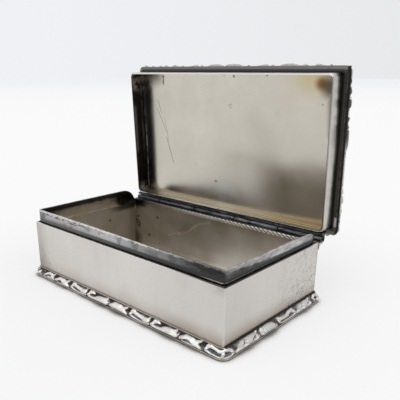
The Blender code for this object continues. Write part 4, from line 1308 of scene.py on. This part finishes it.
def bezel():
    """The bent strip in the mouth: wavy rim, rounded ends by the hinge."""
    shape = bmesh.new()
    rim_height = shape.verts.layers.float.new("rim_height")
    outer_face = shape.verts.layers.float.new("outer_face")
    rings = []
    for x, y, top, (a, b) in bezel_path():
        wave = sum(ripple(x, y, *row) for row in BEZEL_RIPPLES)
        section = [(inward, BEZEL_FOOT + up) for inward, up in BEZEL_FOOT_OUT]
        section += [(inward, top + wave - down) for inward, down in BEZEL_RIM]
        section += [(inward, BEZEL_FOOT + up) for inward, up in BEZEL_FOOT_IN]
        ring = []
        for inward, z in section:
            vert = shape.verts.new(((x - a * inward) * MM, (y - b * inward) * MM, z * MM))
            vert[rim_height] = top + wave
            vert[outer_face] = 1.0 if inward < BEZEL_SHEET / 2 else 0.0
            ring.append(vert)
        rings.append(ring)
    join_rings(shape, rings, closed=True)
    piece = put("bezel_strip", shape, [bezel_sheet()], "body")
    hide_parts("bezel")


# Pieces that stay as the frame has them, with their sharp edges worn off

WORN_ANGLE = 40
PLATE_EDGE = 0.22
HINGE_EDGE = 0.06
HINGE_PARTS = ("hinge_pin", "body_bearer", "lid_bearer", "body_knuckle_1", "body_knuckle_3",
               "body_knuckle_5", "lid_knuckle_2", "lid_knuckle_4")


def dress(node, material, edge):
    """A new finish for a piece of the frame, and how far its edges are worn off."""
    piece = frame["nodes"][node]
    for slot in piece.material_slots:
        slot.material = material
    worn = piece.modifiers.new("worn_edges", "BEVEL")
    worn.width = edge * MM
    worn.segments = 2
    worn.limit_method = "ANGLE"
    worn.angle_limit = math.radians(WORN_ANGLE)


# The box, put together

BASE_SCROLLS = cast_scrolls(False)
LID_SCROLLS = cast_scrolls(True)
HINGE = dark_hinge()

shell("body_walls", [f"body_wall_{side}" for side in SIDE_NAMES], FLOOR_TOP, WALL_TOP,
      WALL_CORNER, WALL_INNER_CORNER, [outer_sheet(), inner_sheet()], "body")
shell("lid_walls", [f"lid_wall_{side}" for side in SIDE_NAMES], LID_MOUTH,
      LID_MOUTH + LID_WALL_RISE, LID_CORNER, LID_INNER_CORNER,
      [lid_wall_outside(), lid_wall_inside()], "lid")
lid_sheet()
bezel()
borders(False)
borders(True)
dress("base_plate", box_floor(), PLATE_EDGE)
for hinge_part in HINGE_PARTS:
    dress(hinge_part, HINGE, HINGE_EDGE)


# Studio: camera, light and a pale floor. The focus and the middle are in picture pixels, and
# the turn of the backdrop from left to right is in parts of the view's direction

PICTURE_SIZE = 400
FOCUS = 494.839
MIDDLE = (186.972, 245.815)
SENSOR = 36
CAMERA_PLACE = (0.116602, -0.118405, 0.073964)
CAMERA_TURN = (90 - 19.408, -0.05, 42.311)
CAMERA_NEAREST = 0.005
CAMERA_SHIFT = (0.5 - MIDDLE[0] / PICTURE_SIZE, MIDDLE[1] / PICTURE_SIZE - 0.5)
WORLD_STRENGTH = 0.78
FLOOR_WHITE = (0.955, 0.955, 0.958)
BACKDROP_LEFT = (0.872, 0.877, 0.905)
BACKDROP_RIGHT = (0.812, 0.815, 0.835)
BACKDROP_TURN = (-0.85, -0.35)
FLOOR_RADIUS = 6.0
FLOOR_LEVEL = -0.00005
FLOOR_SHADOW = 0.0035
LAMP_AIM = Vector((0.0, 0.0, 0.02))


def camera():
    """Camera where the picture was taken from, with the picture's own middle."""
    lens = bpy.data.cameras.new("camera")
    lens.sensor_width = SENSOR
    lens.lens = FOCUS / PICTURE_SIZE * SENSOR
    lens.shift_x, lens.shift_y = CAMERA_SHIFT
    lens.clip_start = CAMERA_NEAREST
    holder = bpy.data.objects.new("camera", lens)
    holder.location = CAMERA_PLACE
    holder.rotation_euler = [math.radians(turn) for turn in CAMERA_TURN]
    bpy.context.scene.collection.objects.link(holder)
    bpy.context.scene.camera = holder


def studio_floor():
    """A white floor: it takes the box's shadow nearby, its colour is darkened as a painted contact
    shadow right by the box, and it is even and bright further off.
    """
    shape = bmesh.new()
    bmesh.ops.create_circle(shape, cap_ends=True, segments=64, radius=FLOOR_RADIUS)
    mesh = bpy.data.meshes.new("studio_floor")
    shape.to_mesh(mesh)
    shape.free()
    floor = bpy.data.objects.new("studio_floor", mesh)
    bpy.context.scene.collection.objects.link(floor)
    floor.location.z = FLOOR_LEVEL
    finish = Finish("studio_floor", 0.9, 0.0)
    open_sky = finish.node("ShaderNodeAmbientOcclusion", {"samples": 8},
                           {"Distance": FLOOR_SHADOW}, "AO")
    # Painted contact shadow: the floor's colour darkens where the box is close.
    touching = open_sky.rise(0.97, 0.50)
    finish.feed(finish.shader.inputs["Base Color"],
                finish.blend(touching, (0.90, 0.90, 0.90), (0.32, 0.30, 0.28)))
    x, y, _ = finish.split(finish.place())
    away = finish.math("SQRT", x * x + y * y)
    near = Wire(finish, finish.shader.outputs[0])
    even = finish.node("ShaderNodeEmission", {}, {"Color": FLOOR_WHITE})
    dim = finish.node("ShaderNodeEmission", {}, {"Color": BACKDROP_LEFT})
    mixed = finish.mix(away.rise(0.045, 0.14, 0.62, 1.0) * (1.0 - touching), near, even)
    mixed = finish.mix(away.rise(0.35, 4.0), mixed, dim)
    finish.feed(finish.tree.nodes["Material Output"].inputs["Surface"], mixed)
    mesh.materials.append(finish.material)


def lamp(name, place, width, height, power):
    """A soft lamp that is aimed at the box."""
    light = bpy.data.lights.new(name, "AREA")
    light.shape = "RECTANGLE"
    light.size = width
    light.size_y = height
    light.energy = power
    holder = bpy.data.objects.new(name, light)
    holder.location = place
    holder.rotation_euler = (LAMP_AIM - Vector(place)).to_track_quat("-Z", "Y").to_euler()
    bpy.context.scene.collection.objects.link(holder)


def world_light():
    """Soft even light, and a backdrop that is a little darker to the right."""
    world = bpy.data.worlds.new("studio")
    bpy.context.scene.world = world
    world.use_nodes = True
    nodes = Nodes(world.node_tree)
    glow = nodes.node("ShaderNodeBackground", {},
                      {"Color": BACKDROP_LEFT, "Strength": WORLD_STRENGTH})
    left = nodes.node("ShaderNodeBackground", {}, {"Color": BACKDROP_LEFT})
    right = nodes.node("ShaderNodeBackground", {}, {"Color": BACKDROP_RIGHT})
    x = nodes.split(nodes.node("ShaderNodeTexCoord", {}, {}, "Generated"))[0]
    start, end = BACKDROP_TURN
    turn = nodes.node("ShaderNodeMapRange", {}, {"Value": x, "From Min": start, "From Max": end})
    by_camera = nodes.node("ShaderNodeLightPath", {}, {}, "Is Camera Ray")
    by_metal = nodes.node("ShaderNodeLightPath", {}, {}, "Is Glossy Ray")
    seen = nodes.math("MAXIMUM", by_camera, by_metal)
    mixed = nodes.mix(seen, glow, nodes.mix(turn, left, right))
    nodes.feed(nodes.tree.nodes["World Output"].inputs["Surface"], mixed)


camera()
studio_floor()
world_light()
lamp("key_light", (-0.05, -0.30, 0.62), width=0.6, height=0.5, power=1.15)
lamp("fill_light", (0.45, 0.05, 0.40), width=0.4, height=0.4, power=0.7)
bpy.context.scene.view_settings.view_transform = "Standard"
